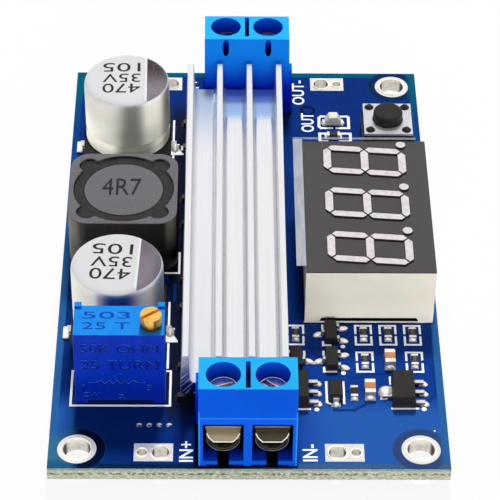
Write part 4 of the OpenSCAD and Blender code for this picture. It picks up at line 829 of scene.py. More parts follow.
def blank(name):
    """An empty mesh at the origin, open for editing."""
    piece = bpy.data.objects.new(name, bpy.data.meshes.new(name))
    bpy.context.scene.collection.objects.link(piece)
    edit(piece)
    return piece


def modify(piece, kind, **settings):
    """Adds a modifier and applies it."""
    only(piece)
    modifier = piece.modifiers.new(kind.lower(), kind)
    for name, value in settings.items():
        setattr(modifier, name, value)
    bpy.ops.object.modifier_apply(modifier=modifier.name)


def smooth(piece, angle=35):
    """Shades a piece smooth across edges below an angle."""
    only(piece)
    bpy.ops.object.shade_smooth_by_angle(angle=math.radians(angle))


def rounded(piece, edge, segments=2, angle=35):
    """Rounds the sharp edges of a piece and evens its shading."""
    if edge:
        modify(piece, "BEVEL", width=edge, segments=segments, limit_method="ANGLE",
               angle_limit=math.radians(angle), use_clamp_overlap=True)
    smooth(piece, angle)
    modify(piece, "WEIGHTED_NORMAL", keep_sharp=True)
    return piece


def copied(node, name, edge=0.0, segments=2):
    """A solid's own mesh, merged into whole faces, with its edges rounded."""
    piece = bpy.data.objects.new(name, NODES[node].data.copy())
    bpy.context.scene.collection.objects.link(piece)
    edit(piece)
    bpy.ops.mesh.customdata_custom_splitnormals_clear()
    bpy.ops.mesh.remove_doubles(threshold=MERGE)
    bpy.ops.mesh.dissolve_limited(angle_limit=math.radians(0.5))
    leave()
    return rounded(piece, edge, segments)


def joined(name, *objects):
    """Joins objects into one piece of this name."""
    only(*objects)
    if len(objects) > 1:
        bpy.ops.object.join()
    piece = bpy.context.object
    piece.name = piece.data.name = name
    return piece


def handed(piece, material, body="root", replaces=()):
    """Gives a finished piece its material and its place in the frame."""
    piece.data.materials.clear()
    piece.data.materials.append(material)
    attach(piece, body)
    if replaces:
        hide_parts(*replaces)
    return piece


def dressed(node, material, edge=0.0, segments=2):
    """Shows a solid with rounded edges and its finish in place of the bare one."""
    piece = copied(node, node + "_dressed", edge, segments)
    return handed(piece, material, BODY_OF[node], (node,))


def shifted(piece, way):
    """Moves a piece's mesh, in metres."""
    edit(piece)
    bpy.ops.transform.translate(value=way)
    leave()
    return piece


def letters(text, low, high, turn=(0, 0, 0), bold=0.0):
    """A word as a mesh that fills the box between two corners, in millimetres."""
    only()
    bpy.ops.object.text_add()
    word = bpy.context.object
    word.data.body, word.data.extrude, word.data.offset, word.data.resolution_u = text, 0.1, bold, 4
    bpy.ops.object.convert(target="MESH")
    word = bpy.context.object
    word.rotation_euler = turn
    bpy.ops.object.transform_apply(location=False, rotation=True, scale=False)
    spots = [vertex.co for vertex in word.data.vertices]
    have_low = [min(spot[i] for spot in spots) for i in range(3)]
    have_high = [max(spot[i] for spot in spots) for i in range(3)]
    low, high = metres(*low), metres(*high)
    growth = [(high[i] - low[i]) / (have_high[i] - have_low[i]) for i in range(3)]
    word.scale = growth
    bpy.ops.object.transform_apply(location=False, rotation=False, scale=True)
    word.location = [low[i] - have_low[i] * growth[i] for i in range(3)]
    bpy.ops.object.transform_apply(location=True, rotation=False, scale=False)
    return word


def spun(piece, centre, angle):
    """Turns a piece about an upright axis, in millimetres and degrees."""
    only(piece)
    shift = Matrix.Translation(metres(centre.x, centre.y, 0))
    piece.matrix_world = shift @ Matrix.Rotation(math.radians(angle), 4, "Z") @ shift.inverted()
    bpy.ops.object.transform_apply(location=True, rotation=True, scale=True)
    return piece


def bar(start, end, width, low, high):
    """Adds a flat bar from point to point to the mesh that is open, in millimetres."""
    run = Vector(end) - Vector(start)
    spot = (Vector(start) + Vector(end)) / 2
    bpy.ops.mesh.primitive_cube_add(
        size=1, location=(spot.x * MM, spot.y * MM, (low + high) / 2 * MM),
        rotation=(0, 0, math.atan2(run.y, run.x)),
        scale=((run.length + width) * MM, width * MM, (high - low) * MM))


def path(points, width, low, high):
    """A run of bars, each a little lower than the last so that their tops never share a plane."""
    for i, (start, end) in enumerate(zip(points, points[1:])):
        bar(start, end, width, low, high - STEP * i)


def outlined(name, spots):
    """A run of edges through these places, in metres, open for editing."""
    piece = blank(name)
    bpy.ops.mesh.primitive_plane_add(size=MM)
    bpy.ops.mesh.merge(type="CENTER")
    bpy.ops.transform.translate(value=spots[0])
    for start, end in zip(spots, spots[1:]):
        bpy.ops.mesh.extrude_region_move(TRANSFORM_OT_translate={"value": end - start})
    return piece


def turned(name, outline, centre, steps=64):
    """Spins an outline of radii and heights round an upright axis, in millimetres."""
    piece = outlined(name, [metres(centre[0] + radius, centre[1], height) for radius, height in outline])
    bpy.ops.mesh.select_all(action="SELECT")
    bpy.ops.mesh.spin(steps=steps, angle=2 * math.pi, axis=(0, 0, 1), center=metres(centre[0], centre[1], 0))
    bpy.ops.mesh.select_all(action="SELECT")
    bpy.ops.mesh.remove_doubles(threshold=MERGE)
    bpy.ops.mesh.normals_make_consistent(inside=False)
    leave()
    return piece


def arc(radius, height, round_by, start, end, steps=6):
    """Points of a rounded corner whose middle lies at a radius and height."""
    angles = [math.radians(start + (end - start) * i / steps) for i in range(steps + 1)]
    return [(radius + round_by * math.cos(a), height + round_by * math.sin(a)) for a in angles]


def slotted(piece, centre, top, width, depth, length, angle):
    """Cuts a screwdriver slot across the top of a piece."""
    only()
    bpy.ops.mesh.primitive_cube_add(
        size=1, location=metres(centre[0], centre[1], top),
        rotation=(0, 0, math.radians(angle)), scale=(length * MM, width * MM, 2 * depth * MM))
    cutter = bpy.context.object
    modify(piece, "BOOLEAN", operation="DIFFERENCE", solver="EXACT", object=cutter)
    bpy.data.objects.remove(cutter)


def helix(name, centre, core, crest, low, high, pitch):
    """A thread ridge that climbs round a core, in millimetres."""
    ridge = ((core, 0.0), (crest, 0.4), (crest, 0.5), (core, 0.9))
    piece = outlined(name, [metres(radius, 0, low + pitch * share) for radius, share in ridge])
    leave()
    turns = max(1, int((high - low) / pitch) - 1)
    modify(piece, "SCREW", axis="Z", angle=2 * math.pi, screw_offset=pitch * MM, iterations=turns, steps=32,
           render_steps=32, use_normal_calculate=True)
    edit(piece)
    bpy.ops.mesh.normals_make_consistent(inside=False)
    bpy.ops.transform.translate(value=metres(centre[0], centre[1], 0))
    leave()
    return piece


# Pieces

class CONVERTER_OT_stage(bpy.types.Operator):
    """Sets the floor, the soft light and the camera"""
    bl_idname = "converter.stage"
    bl_label = "Stage"
    bl_options = {"REGISTER", "UNDO"}

    FLOOR_SIZE, FLOOR_DROP = 4.0, 0.05 * MM
    LENS, SENSOR = 169.3, 36.0
    CAMERA_PLACE = (-2.77, -199.6, 181.5)
    CAMERA_TURN = (
        (0.99993, -0.00356, -0.01135),
        (-0.00606, 0.66867, -0.74353),
        (0.01024, 0.74355, 0.66861),
    )

    def execute(self, context):
        self.floor()
        self.world(context.scene)
        self.lamp("key_light", place=(0.026, 0.370, 0.535), size=0.11, power=3.75)
        self.lamp("front_light", place=(0.05, -0.62, 0.06), size=0.40, power=3.5)
        self.camera(context.scene)
        return {"FINISHED"}

    def floor(self):
        only()
        level = CAD_BOX[0].z - self.FLOOR_DROP
        bpy.ops.mesh.primitive_plane_add(size=self.FLOOR_SIZE, location=(0, 0, level))
        floor = bpy.context.object
        floor.name = "floor"
        paint = Paint(bpy.data.materials.new("pale_floor"))
        grain = paint.noise(0.02, 2.0)
        diffuse = paint.node("ShaderNodeBsdfDiffuse", inputs={0: paint.mix(grain, (0.86,) * 3, (0.84,) * 3)})
        glow = paint.node("ShaderNodeEmission", inputs={0: WHITE, 1: 1.0})
        shader = paint.node("ShaderNodeMixShader", inputs={0: self.seen(paint) * 0.9, 1: diffuse, 2: glow})
        paint.node("ShaderNodeOutputMaterial", inputs={0: shader})
        floor.data.materials.append(paint.owner)

    def seen(self, paint):
        """1 on rays that show the background itself."""
        camera = paint.node("ShaderNodeLightPath", out="Is Camera Ray")
        return camera.most(camera.other("Is Glossy Ray")).most(camera.other("Is Transmission Ray"))

    def world(self, scene):
        scene.world = bpy.data.worlds.new("studio")
        paint = Paint(scene.world)
        up = paint.node("ShaderNodeTexCoord", out="Generated")
        height = paint.node("ShaderNodeSeparateXYZ", inputs={0: up}, out="Z")
        lighting = 0.18 + height.rise(0.0, 1.0) * 0.1
        strength = lighting + self.seen(paint) * (1 - lighting)
        back = paint.node("ShaderNodeBackground", inputs={0: WHITE, 1: strength})
        paint.node("ShaderNodeOutputWorld", inputs={0: back})

    def lamp(self, name, place, size, power):
        """A square lamp that faces the origin and leaves no image in glossy faces."""
        only()
        bpy.ops.object.light_add(type="AREA", location=place)
        lamp = bpy.context.object
        lamp.name = name
        lamp.data.size, lamp.data.energy = size, power
        lamp.rotation_mode = "QUATERNION"
        lamp.rotation_quaternion = Vector(place).to_track_quat("Z", "Y")
        lamp.visible_glossy = False

    def camera(self, scene):
        only()
        bpy.ops.object.camera_add()
        camera = bpy.context.object
        camera.name = "photo_camera"
        camera.data.lens, camera.data.sensor_width = self.LENS, self.SENSOR
        camera.data.clip_start, camera.data.clip_end = 0.01, 20.0
        camera.rotation_mode = "QUATERNION"
        camera.rotation_quaternion = Matrix(self.CAMERA_TURN).to_quaternion()
        camera.location = metres(*self.CAMERA_PLACE)
        scene.camera = camera
        scene.view_settings.view_transform = "Standard"


class CONVERTER_OT_board(bpy.types.Operator):
    """Dresses the bare board: mask, traces, tinned pads, plated holes and solder"""
    bl_idname = "converter.board"
    bl_label = "Board"
    bl_options = {"REGISTER", "UNDO"}

    TRACES = (
        ((6.3, -14.7), (7.0, -15.4), (7.0, -16.2), (7.7, -16.9)),
        ((19.0, -17.6), (20.0, -18.4), (20.0, -22.8), (19.4, -23.5)),
        ((10.9, -20.0), (12.0, -20.0), (12.9, -19.5), (15.6, -19.5)),
        ((9.1, -25.0), (11.2, -25.0), (12.4, -24.2)),
        ((-8.2, -5.4), (-8.2, -8.0)),
        ((16.6, 14.2), (10.8, 14.2), (8.6, 16.2), (8.6, 19.4)),
        ((19.9, 13.0), (19.9, 16.4)),
    )
    TRACE_WIDTH, SUNK = 0.32, 0.01
    RING_CENTRE, RING_INNER, RING_OUTER, RING_RISE = (7.5, 26.0), 0.62, 0.95, 0.015
    HOLES = ((HOLE_X, HOLE_Y, HOLE_RADIUS), (9.24, 31.2, 0.95), (11.19, 31.2, 0.55))
    COLLAR, RIM_OUT, RIM_ROUND, RIM_FOOT = 0.055, 0.05, 0.11, 0.06

    def execute(self, context):
        sizes = context.scene.converter_sizes
        board = copied("circuit_board", "board_dressed", 0.06 * MM)
        handed(board, finish_of(solder_mask), "root", ("circuit_board",))
        dressed("tinned_pads", finish_of(tinned, 25))
        dressed("solder_joints", finish_of(soldered))
        self.traces(sizes)
        self.ring()
        self.linings(sizes)
        self.rims()
        return {"FINISHED"}

    def traces(self, sizes):
        """Traces that raise the mask."""
        piece = blank("mask_traces")
        for points in self.TRACES:
            path(points, self.TRACE_WIDTH, BOARD_TOP - self.SUNK, BOARD_TOP + sizes.trace_depth / MM)
        leave()
        handed(piece, finish_of(traced_mask), "root")

    def ring(self):
        """A dark ring in the mask beside the output terminal."""
        low, high = BOARD_TOP - self.SUNK, BOARD_TOP + self.RING_RISE
        inner, outer = self.RING_INNER, self.RING_OUTER
        outline = ((inner, low), (inner, high), (outer, high), (outer, low), (inner, low))
        piece = turned("mask_ring", outline, self.RING_CENTRE, 32)
        handed(piece, finish_of(bare_ring), "root")

    def holes(self):
        """The centre and the radius of each plated hole."""
        for x, y, radius in self.HOLES:
            for side_x in (-1, 1):
                for side_y in (-1, 1):
                    yield side_x * x, side_y * y, radius

    def linings(self, sizes):
        """Plated linings in the mounting holes and in the holes of the wire pads."""
        low, high = BOARD_LOW.z - 0.04, BOARD_TOP + self.COLLAR
        piece = blank("hole_linings")
        for x, y, radius in self.holes():
            bpy.ops.mesh.primitive_cylinder_add(
                vertices=64, radius=radius * MM, depth=(high - low) * MM, end_fill_type="NOTHING",
                location=metres(x, y, (low + high) / 2))
        bpy.ops.mesh.select_all(action="SELECT")
        bpy.ops.mesh.flip_normals()
        leave()
        modify(piece, "SOLIDIFY", thickness=sizes.lining, offset=1.0)
        smooth(piece, 50)
        handed(piece, finish_of(plated_lining), "root")

    def rims(self):
        """Rounded rims that cover the upper edges of the linings, made bright with a painted glow."""
        crown = BOARD_TOP + self.COLLAR
        foot, bend = crown - self.RIM_FOOT, self.RIM_ROUND
        rims = []
        for x, y, radius in self.holes():
            ridge = radius + self.RIM_OUT
            inner, outer = ridge - bend, ridge + bend
            outline = [(inner, foot), *arc(ridge, crown, bend, 180, 0), (outer, foot), (inner, foot)]
            rims.append(turned("hole_rim", outline, (x, y), 64))
        piece = joined("hole_rims", *rims)
        smooth(piece, 60)
        handed(piece, finish_of(rolled_lip), "root")


class CONVERTER_OT_printing(bpy.types.Operator):
    """Prints the board's lines, symbols and plain words"""
    bl_idname = "converter.printing"
    bl_label = "Printing"
    bl_options = {"REGISTER", "UNDO"}

    WORDS = (
        ("IN+", (-7.3, -32.5), (-5.85, -29.6)),
        ("IN-", (5.6, -32.4), (7.15, -30.0)),
        ("OUT-", (5.65, 27.2), (7.15, 32.0)),
        ("OUT+", (-7.3, 27.2), (-5.85, 32.0)),
        ("OUT", (6.65, 21.9), (8.2, 25.5)),
    )
    BOLD = 0.012
    LINES = (
        ((-19.0, -19.2), (-19.0, -24.4), (-8.4, -24.4), (-8.4, -19.2), (-19.0, -19.2)),
        ((-9.3, -3.5), (-7.75, -3.5), (-7.75, -0.1)),
        ((-8.75, -8.4), (-8.75, -12.2)), ((-8.75, -15.0), (-8.75, -18.7)),
        ((-9.3, -12.6), (-8.2, -12.6)), ((-9.9, -14.6), (-7.85, -14.6)),
        ((-8.8, 23.9), (-8.8, 19.9)), ((-8.8, 17.2), (-8.8, 13.6)),
        ((-9.3, 19.35), (-8.2, 19.35)), ((-9.9, 17.55), (-7.7, 17.55)),
        ((6.3, -11.38), (19.4, -11.38)),
        ((3.6, -24.85), (6.5, -24.85)), ((15.3, -24.72), (18.05, -24.72)),
        ((15.28, -20.06), (15.28, -21.04)),
        ((8.36, -20.8), (8.36, -23.8), (8.75, -24.05)), ((10.2, -20.8), (10.2, -23.95)),
        ((8.2, -12.0), (8.2, -12.5)), ((8.2, -14.6), (8.2, -15.1), (9.0, -15.1)),
        ((8.2, -16.1), (8.2, -16.6)), ((8.2, -18.6), (8.2, -19.2), (9.5, -19.2)),
        ((6.1, -16.1), (6.1, -17.1)),
    )
    FRAMES = (
        ((9.77, 24.9), (9.1, 24.9), (8.85, 24.6), (8.8, 23.0), (9.05, 22.65), (10.35, 22.65)),
        ((11.3, 24.9), (12.25, 24.9), (12.42, 24.7), (12.42, 22.65), (10.97, 22.65)),
        ((10.35, 21.6), (8.85, 21.6), (8.85, 20.1), (9.7, 20.1)),
        ((10.97, 21.6), (12.55, 21.6), (12.55, 20.1), (11.3, 20.1)),
    )
    FRAME_WIDTH = 0.32
    ARROWS = (
        ((-8.8, -12.7), (-9.9, -14.6), (-7.85, -14.6)),
        ((-8.8, 19.3), (-9.9, 17.55), (-7.7, 17.55)),
    )
    ARROW_BARS = 8
    DOTS = (
        (19.6, -28.0, 0.1), (18.68, -24.8, 0.28), (7.25, -24.9, 0.26),
        (10.35, -15.3, 0.26), (10.28, -19.42, 0.26),
    )

    def execute(self, context):
        sizes = context.scene.converter_sizes
        low, high, width = BOARD_TOP - 0.005, BOARD_TOP + sizes.ink_depth / MM, sizes.ink_width / MM
        words = [letters(text, (*start, low), (*end, high), UPWARDS, self.BOLD)
                 for text, start, end in self.WORDS]
        lines = blank("printed_lines")
        for points in self.LINES:
            path(points, width, low, high)
        for points in self.FRAMES:
            path(points, self.FRAME_WIDTH, low, high)
        for x, y in RESISTORS:
            for side in (-1, 1):
                path(self.bracket(x, y, side), width, low, high)
        for arrow in self.ARROWS:
            self.filled(arrow, low, high)
        for x, y, radius in self.DOTS:
            bpy.ops.mesh.primitive_cylinder_add(
                vertices=20, radius=radius * MM, depth=(high - low) * MM,
                location=metres(x, y, (low + high) / 2))
        leave()
        handed(joined("board_printing", *words, lines), finish_of(print_ink), "root")
        return {"FINISHED"}

    def bracket(self, x, y, side):
        """The corners of the line round one end of a resistor."""
        half, inner, reach = 0.86, side * 0.3, side * 1.49
        return (x - half, y + inner), (x - half, y + reach), (x + half, y + reach), (x + half, y + inner)

    def filled(self, arrow, low, high):
        """Fills a diode's arrow with bars that narrow towards its point."""
        tip, left, right = (Vector(spot) for spot in arrow)
        width = (left - tip).length / self.ARROW_BARS
        for i in range(self.ARROW_BARS):
            share = (i + 0.5) / self.ARROW_BARS
            bar(tip.lerp(left, share), tip.lerp(right, share), width, low, high + STEP * (i + 1))


class CONVERTER_OT_terminals(bpy.types.Operator):
    """Dresses the two screw terminals and cuts their clamping screws' threads"""
    bl_idname = "converter.terminals"
    bl_label = "Screw Terminals"
    bl_options = {"REGISTER", "UNDO"}

    LIP = ((-1.7, 1.25), (-1.48, 0.62), (-1.0, 0.0), (1.0, 0.0), (1.48, 0.62), (1.7, 1.25))
    LIP_ROUND, LIP_RISE, LIP_OVERLAP = 0.07, 0.06, 0.05
    # Brightness of each guard's upright faces in percent: painted light on the left guard, painted shade on
    # the right
    GUARD_LEVELS = {"left": 110, "right": 22}
    CAGE_RIM, CAGE_ROUND, CAGE_HEIGHT, CAGE_CUT, CAGE_INSET = 1.72, 0.05, 2.58, 1.5, 0.27
    SHANK, HEAD_HEIGHT, HEAD_ROUND = 1.2, 1.6, 0.35
    SLOT_WIDTH, SLOT_DEPTH, SLOT_LENGTH = 0.6, 0.7, 4.0
    EDGE_ROUND, EDGE_INSET, EDGE_DROP = 0.06, 0.14, 0.1
    SLOT_EDGE, SLOT_END = 0.08, 0.5
    SLOT_TURNS = {
        "input_screw_left": 20, "input_screw_right": -42, "output_screw_left": 65, "output_screw_right": -15,
    }

    def execute(self, context):
        sizes = context.scene.converter_sizes
        for end in ("input", "output"):
            housing, contacts = end + "_terminal_housing", end + "_terminal_contacts"
            dressed(housing, finish_of(terminal_plastic), sizes.moulded_edge, 3)
            dressed(contacts, finish_of(plated_brass, 12), sizes.metal_edge)
            for side, level in self.GUARD_LEVELS.items():
                guard = f"{end}_guard_{side}"
                dressed(guard, finish_of(plated_brass, level), 0.08 * MM, 3)
                self.lip(guard, end)
                self.rim(guard, end)
                self.screw(f"{end}_screw_{side}", sizes)
        return {"FINISHED"}

    def face(self, guard, end):
        """The outer face of a guard, and the direction that leads inwards from it."""
        low, high = corners(guard)
        return (low.y, 1) if end == "input" else (high.y, -1)

    def lip(self, guard, end):
        """The rolled lip along a guard's lower edge, made bright with a painted glow."""
        x, foot, face = middle(guard).x, corners(guard)[0].z + self.LIP_RISE, self.face(guard, end)[0]
        piece = blank(guard + "_lip")
        for (x0, z0), (x1, z1) in zip(self.LIP, self.LIP[1:]):
            run = Vector((x1 - x0, z1 - z0))
            bpy.ops.mesh.primitive_cylinder_add(
                vertices=16, radius=self.LIP_ROUND * MM, depth=(run.length + self.LIP_OVERLAP) * MM,
                location=metres(x + (x0 + x1) / 2, face, foot + (z0 + z1) / 2),
                rotation=(0, math.pi / 2 - math.atan2(run.y, run.x), 0))
        leave()
        smooth(piece, 50)
        handed(piece, finish_of(rolled_lip), BODY_OF[guard])

    def rim(self, guard, end):
        """The rim of the cage behind a guard, cut off level above."""
        x, (face, inwards) = middle(guard).x, self.face(guard, end)
        mouth, height = face + inwards * self.CAGE_INSET, BOARD_TOP + self.CAGE_HEIGHT
        piece = blank(guard + "_rim")
        bpy.ops.mesh.primitive_torus_add(
            location=metres(x, mouth, height), rotation=(math.pi / 2, 0, 0),
            major_segments=64, minor_segments=10, major_radius=self.CAGE_RIM * MM,
            minor_radius=self.CAGE_ROUND * MM)
        bpy.ops.mesh.select_all(action="SELECT")
        bpy.ops.mesh.bisect(plane_co=metres(x, mouth, height + self.CAGE_CUT), plane_no=(0, 0, 1),
                            use_fill=True, clear_outer=True)
        leave()
        smooth(piece, 60)
        handed(piece, finish_of(zinc_steel, 45), "root")

    def screw(self, node, sizes):
        """A clamping screw with its thread and its slotted head."""
        low, high = corners(node)
        centre, head, under = middle(node), (high.x - low.x) / 2, high.z - self.HEAD_HEIGHT
        core = self.SHANK - sizes.thread_depth / MM
        bend = self.HEAD_ROUND
        outline = [(0, low.z), (core - 0.2, low.z), (core, low.z + 0.25), (core, under), (head, under)]
        outline += arc(head - bend, high.z - bend, bend, 0, 90) + [(0, high.z)]
        piece = turned(node + "_turned", outline, centre, 48)
        slotted(piece, centre, high.z, self.SLOT_WIDTH, self.SLOT_DEPTH, self.SLOT_LENGTH,
                self.SLOT_TURNS[node])
        thread = helix(node + "_thread", centre, core - 0.02, self.SHANK - 0.02, low.z + 0.1, under,
                       sizes.thread_pitch / MM)
        piece = joined(node + "_dressed", thread, piece)
        smooth(piece, 40)
        handed(piece, finish_of(zinc_steel, 100), BODY_OF[node], (node,))
        self.edges(node, centre, head, high.z)

    def edges(self, node, centre, head, top):
        """Painted highlights: bright rings round a screw's head and bars along its slot, dimmer on the
        output screws.
        """
        piece = blank(node + "_edges")
        bpy.ops.mesh.primitive_torus_add(
            location=metres(centre.x, centre.y, top - self.EDGE_DROP), major_segments=64, minor_segments=8,
            major_radius=(head - self.EDGE_INSET) * MM, minor_radius=self.EDGE_ROUND * MM)
        turn = math.radians(self.SLOT_TURNS[node])
        along, aside = Vector((math.cos(turn), math.sin(turn))), Vector((-math.sin(turn), math.cos(turn)))
        reach = along * (head - self.SLOT_END)
        for side in (-1, 1):
            spot = centre.xy + aside * side * (self.SLOT_WIDTH / 2 + 0.03)
            bar(spot - reach, spot + reach, self.SLOT_EDGE, top - 0.04, top + 0.03)
        leave()
        smooth(piece, 60)
        finish = finish_of(rolled_lip) if node.startswith("input") else finish_of(zinc_steel, 25)
        handed(piece, finish, BODY_OF[node])


class CONVERTER_OT_heatsink(bpy.types.Operator):
    """Dresses the drawn heatsink and the power packages glued under it"""
    bl_idname = "converter.heatsink"
    bl_label = "Heatsink and Packages"
    bl_options = {"REGISTER", "UNDO"}

    def execute(self, context):
        sizes = context.scene.converter_sizes
        dressed("heatsink", finish_of(drawn_aluminium), sizes.moulded_edge, 3)
        dressed("thermal_adhesive", finish_of(adhesive), 0.02 * MM)
        dressed("power_package_bodies", finish_of(moulded_black), sizes.metal_edge)
        # The leads under the heatsink lose most of their light: painted shade
        dressed("power_package_leads", finish_of(tinned_leg, 85), sizes.metal_edge)
        return {"FINISHED"}


class CONVERTER_OT_capacitors(bpy.types.Operator):
    """Turns the two capacitor cans and prints their ratings"""
    bl_idname = "converter.capacitors"
    bl_label = "Capacitors"
    bl_options = {"REGISTER", "UNDO"}

    ROWS = (("470", -2.7, -1.0), ("35V", -0.7, 0.9), ("105", 1.3, 2.95))
    ROW_LEFT, ROW_RIGHT = -2.8, 1.6
    FOOT_ROUND, TOP_ROUND, TOP_DIP = 0.5, 0.8, 0.02
    CRIMP_RISE, CRIMP_HALF, CRIMP_DEPTH = 2.3, 0.5, 0.45

    def execute(self, context):
        sizes = context.scene.converter_sizes
        for place in ("front", "rear"):
            self.can(place + "_capacitor_can")
            dressed(place + "_capacitor_base", finish_of(base_plastic), sizes.moulded_edge)
        dressed("capacitor_leads", finish_of(tinned_leg, 10), 0.03 * MM)
        return {"FINISHED"}

    def can(self, node):
        """A can with a crimp round its foot, and the rating on its top."""
        low, high = corners(node)
        centre, radius = middle(node), (high.x - low.x) / 2
        groove, foot, top = low.z + self.CRIMP_RISE, self.FOOT_ROUND, self.TOP_ROUND
        crimp = [(radius - self.CRIMP_DEPTH * (1 - math.cos(math.radians(angle))) / 2,
                  groove + self.CRIMP_HALF * (angle / 180 - 1)) for angle in range(0, 361, 20)]
        outline = [(0, low.z)] + arc(radius - foot, low.z + foot, foot, -90, 0) + crimp
        outline += arc(radius - top, high.z - top, top, 0, 90, 8)
        outline += [(radius - top - 0.1, high.z - self.TOP_DIP), (0, high.z - self.TOP_DIP)]
        piece = turned(node + "_turned", outline, centre, 96)
        smooth(piece, 50)
        handed(piece, finish_of(can_aluminium, node), "root", (node,))
        words = [letters(text, (centre.x + self.ROW_LEFT, centre.y + start, high.z - 0.03),
                         (centre.x + self.ROW_RIGHT, centre.y + end, high.z - 0.005), (0, 0, math.pi))
                 for text, start, end in self.ROWS]
        rating = spun(joined(node + "_rating", *words), centre, CAN_TURN[node])
        handed(rating, finish_of(dark_ink), "root")


class CONVERTER_OT_inductor(bpy.types.Operator):
    """Dresses the shielded inductor and prints its value"""
    bl_idname = "converter.inductor"
    bl_label = "Inductor"
    bl_options = {"REGISTER", "UNDO"}

    def execute(self, context):
        dressed("inductor_shield", finish_of(fired_ferrite), 0.18 * MM, 3)
        dressed("inductor_drum", finish_of(fired_ferrite), 0.1 * MM, 3)
        dressed("inductor_glue", finish_of(dark_glue), 0.08 * MM)
        dressed("inductor_winding", finish_of(copper_wire))
        dressed("inductor_terminals", finish_of(tinned_leg, 10), 0.03 * MM)
        centre, top = middle("inductor_drum"), corners("inductor_drum")[1].z
        word = letters("4R7", (centre.x - 2.45, centre.y - 1.0, top - 0.01),
                       (centre.x + 2.0, centre.y + 1.9, top + 0.015))
        handed(joined("inductor_value", word), finish_of(dark_ink), "root")
        return {"FINISHED"}


class CONVERTER_OT_trimmer(bpy.types.Operator):
    """Dresses the trimmer, with its raised marks and its brass screw"""
    bl_idname = "converter.trimmer"
    bl_label = "Trimmer"
    bl_options = {"REGISTER", "UNDO"}

    FRONT = (
        ("50K OHM", 0.7, 8.9, 7.55, 8.75), ("25 TURN", 0.7, 8.9, 5.15, 6.4), ("1", 0.75, 1.05, 2.0, 2.75),
        ("3", 7.6, 8.15, 2.0, 2.75), ("CW", 0.75, 2.6, 0.95, 1.65), ("2", 4.6, 5.2, 0.75, 1.35),
    )
    TOP = (("503", 0.9, 5.9, 2.5, 3.55), ("25 T", 0.9, 5.9, 0.9, 1.95))
    CASE_HEIGHT = 10.0
    ZIGZAG_LEFT, ZIGZAG_HEIGHT, ZIGZAG_PACE, ZIGZAG_SWING, LINE_WIDTH = 1.5, 3.1, 0.42, 0.28, 0.14
    SHANK, HEAD_HEIGHT, HEAD_ROUND = 0.8, 1.57, 0.16
    SLOT_WIDTH, SLOT_DEPTH, SLOT_LENGTH, SLOT_TURN = 0.4, 0.6, 3.0, 35

    def execute(self, context):
        sizes = context.scene.converter_sizes
        dressed("trimmer_case", finish_of(trimmer_plastic), sizes.moulded_edge, 3)
        dressed("trimmer_pins", finish_of(tinned_leg, 10))
        self.relief(sizes.relief / MM)
        self.value()
        self.screw()
        return {"FINISHED"}

    def relief(self, rise):
        """Raised words and the sign of a variable resistor on the front."""
        low = corners("trimmer_case")[0]
        pieces = [letters(text, (low.x + x0, low.y - rise, low.z + z0),
                          (low.x + x1, low.y + 0.01, low.z + z1), STANDING)
                  for text, x0, x1, z0, z1 in self.FRONT]
        symbol = blank("trimmer_symbol")
        for points in (self.zigzag(), ((4.75, 4.3), (4.75, 3.5))):
            for (x0, z0), (x1, z1) in zip(points, points[1:]):
                run = Vector((x1 - x0, z1 - z0))
                bpy.ops.mesh.primitive_cube_add(
                    size=1, location=metres(low.x + (x0 + x1) / 2, low.y - rise / 2, low.z + (z0 + z1) / 2),
                    rotation=(0, -math.atan2(run.y, run.x), 0),
                    scale=((run.length + self.LINE_WIDTH) * MM, (rise + 0.02) * MM, self.LINE_WIDTH * MM))
        leave()
        handed(joined("trimmer_relief", *pieces, symbol), finish_of(raised_blue), "root")

    def zigzag(self):
        """Corners of the resistor's zigzag, with straight leads on both sides."""
        swings = [(-1, 1)[i % 2] * (2 < i < 12) for i in range(15)]
        return [(self.ZIGZAG_LEFT + self.ZIGZAG_PACE * i, self.ZIGZAG_HEIGHT + self.ZIGZAG_SWING * swing)
                for i, swing in enumerate(swings)]

    def value(self):
        """The value that is printed on the top."""
        low, top = corners("trimmer_case")[0], BOARD_TOP + self.CASE_HEIGHT
        words = [letters(text, (low.x + x0, low.y + y0, top - 0.01), (low.x + x1, low.y + y1, top + 0.012))
                 for text, x0, x1, y0, y1 in self.TOP]
        handed(joined("trimmer_value", *words), finish_of(trimmer_ink), "root")

    def screw(self):
        """The adjusting screw with its slotted head."""
        node = "trimmer_screw"
        low, high = corners(node)
        centre, head, under = middle(node), (high.x - low.x) / 2, high.z - self.HEAD_HEIGHT
        shank, bend = self.SHANK, self.HEAD_ROUND
        outline = [(0, low.z), (shank, low.z), (shank, under), (head - 0.06, under), (head, under + 0.06)]
        outline += arc(head - bend, high.z - bend, bend, 0, 90, 4) + [(0, high.z)]
        piece = turned(node + "_dressed", outline, centre, 64)
        slotted(piece, centre, high.z, self.SLOT_WIDTH, self.SLOT_DEPTH, self.SLOT_LENGTH, self.SLOT_TURN)
        smooth(piece, 40)
        handed(piece, finish_of(turned_brass), node, (node,))


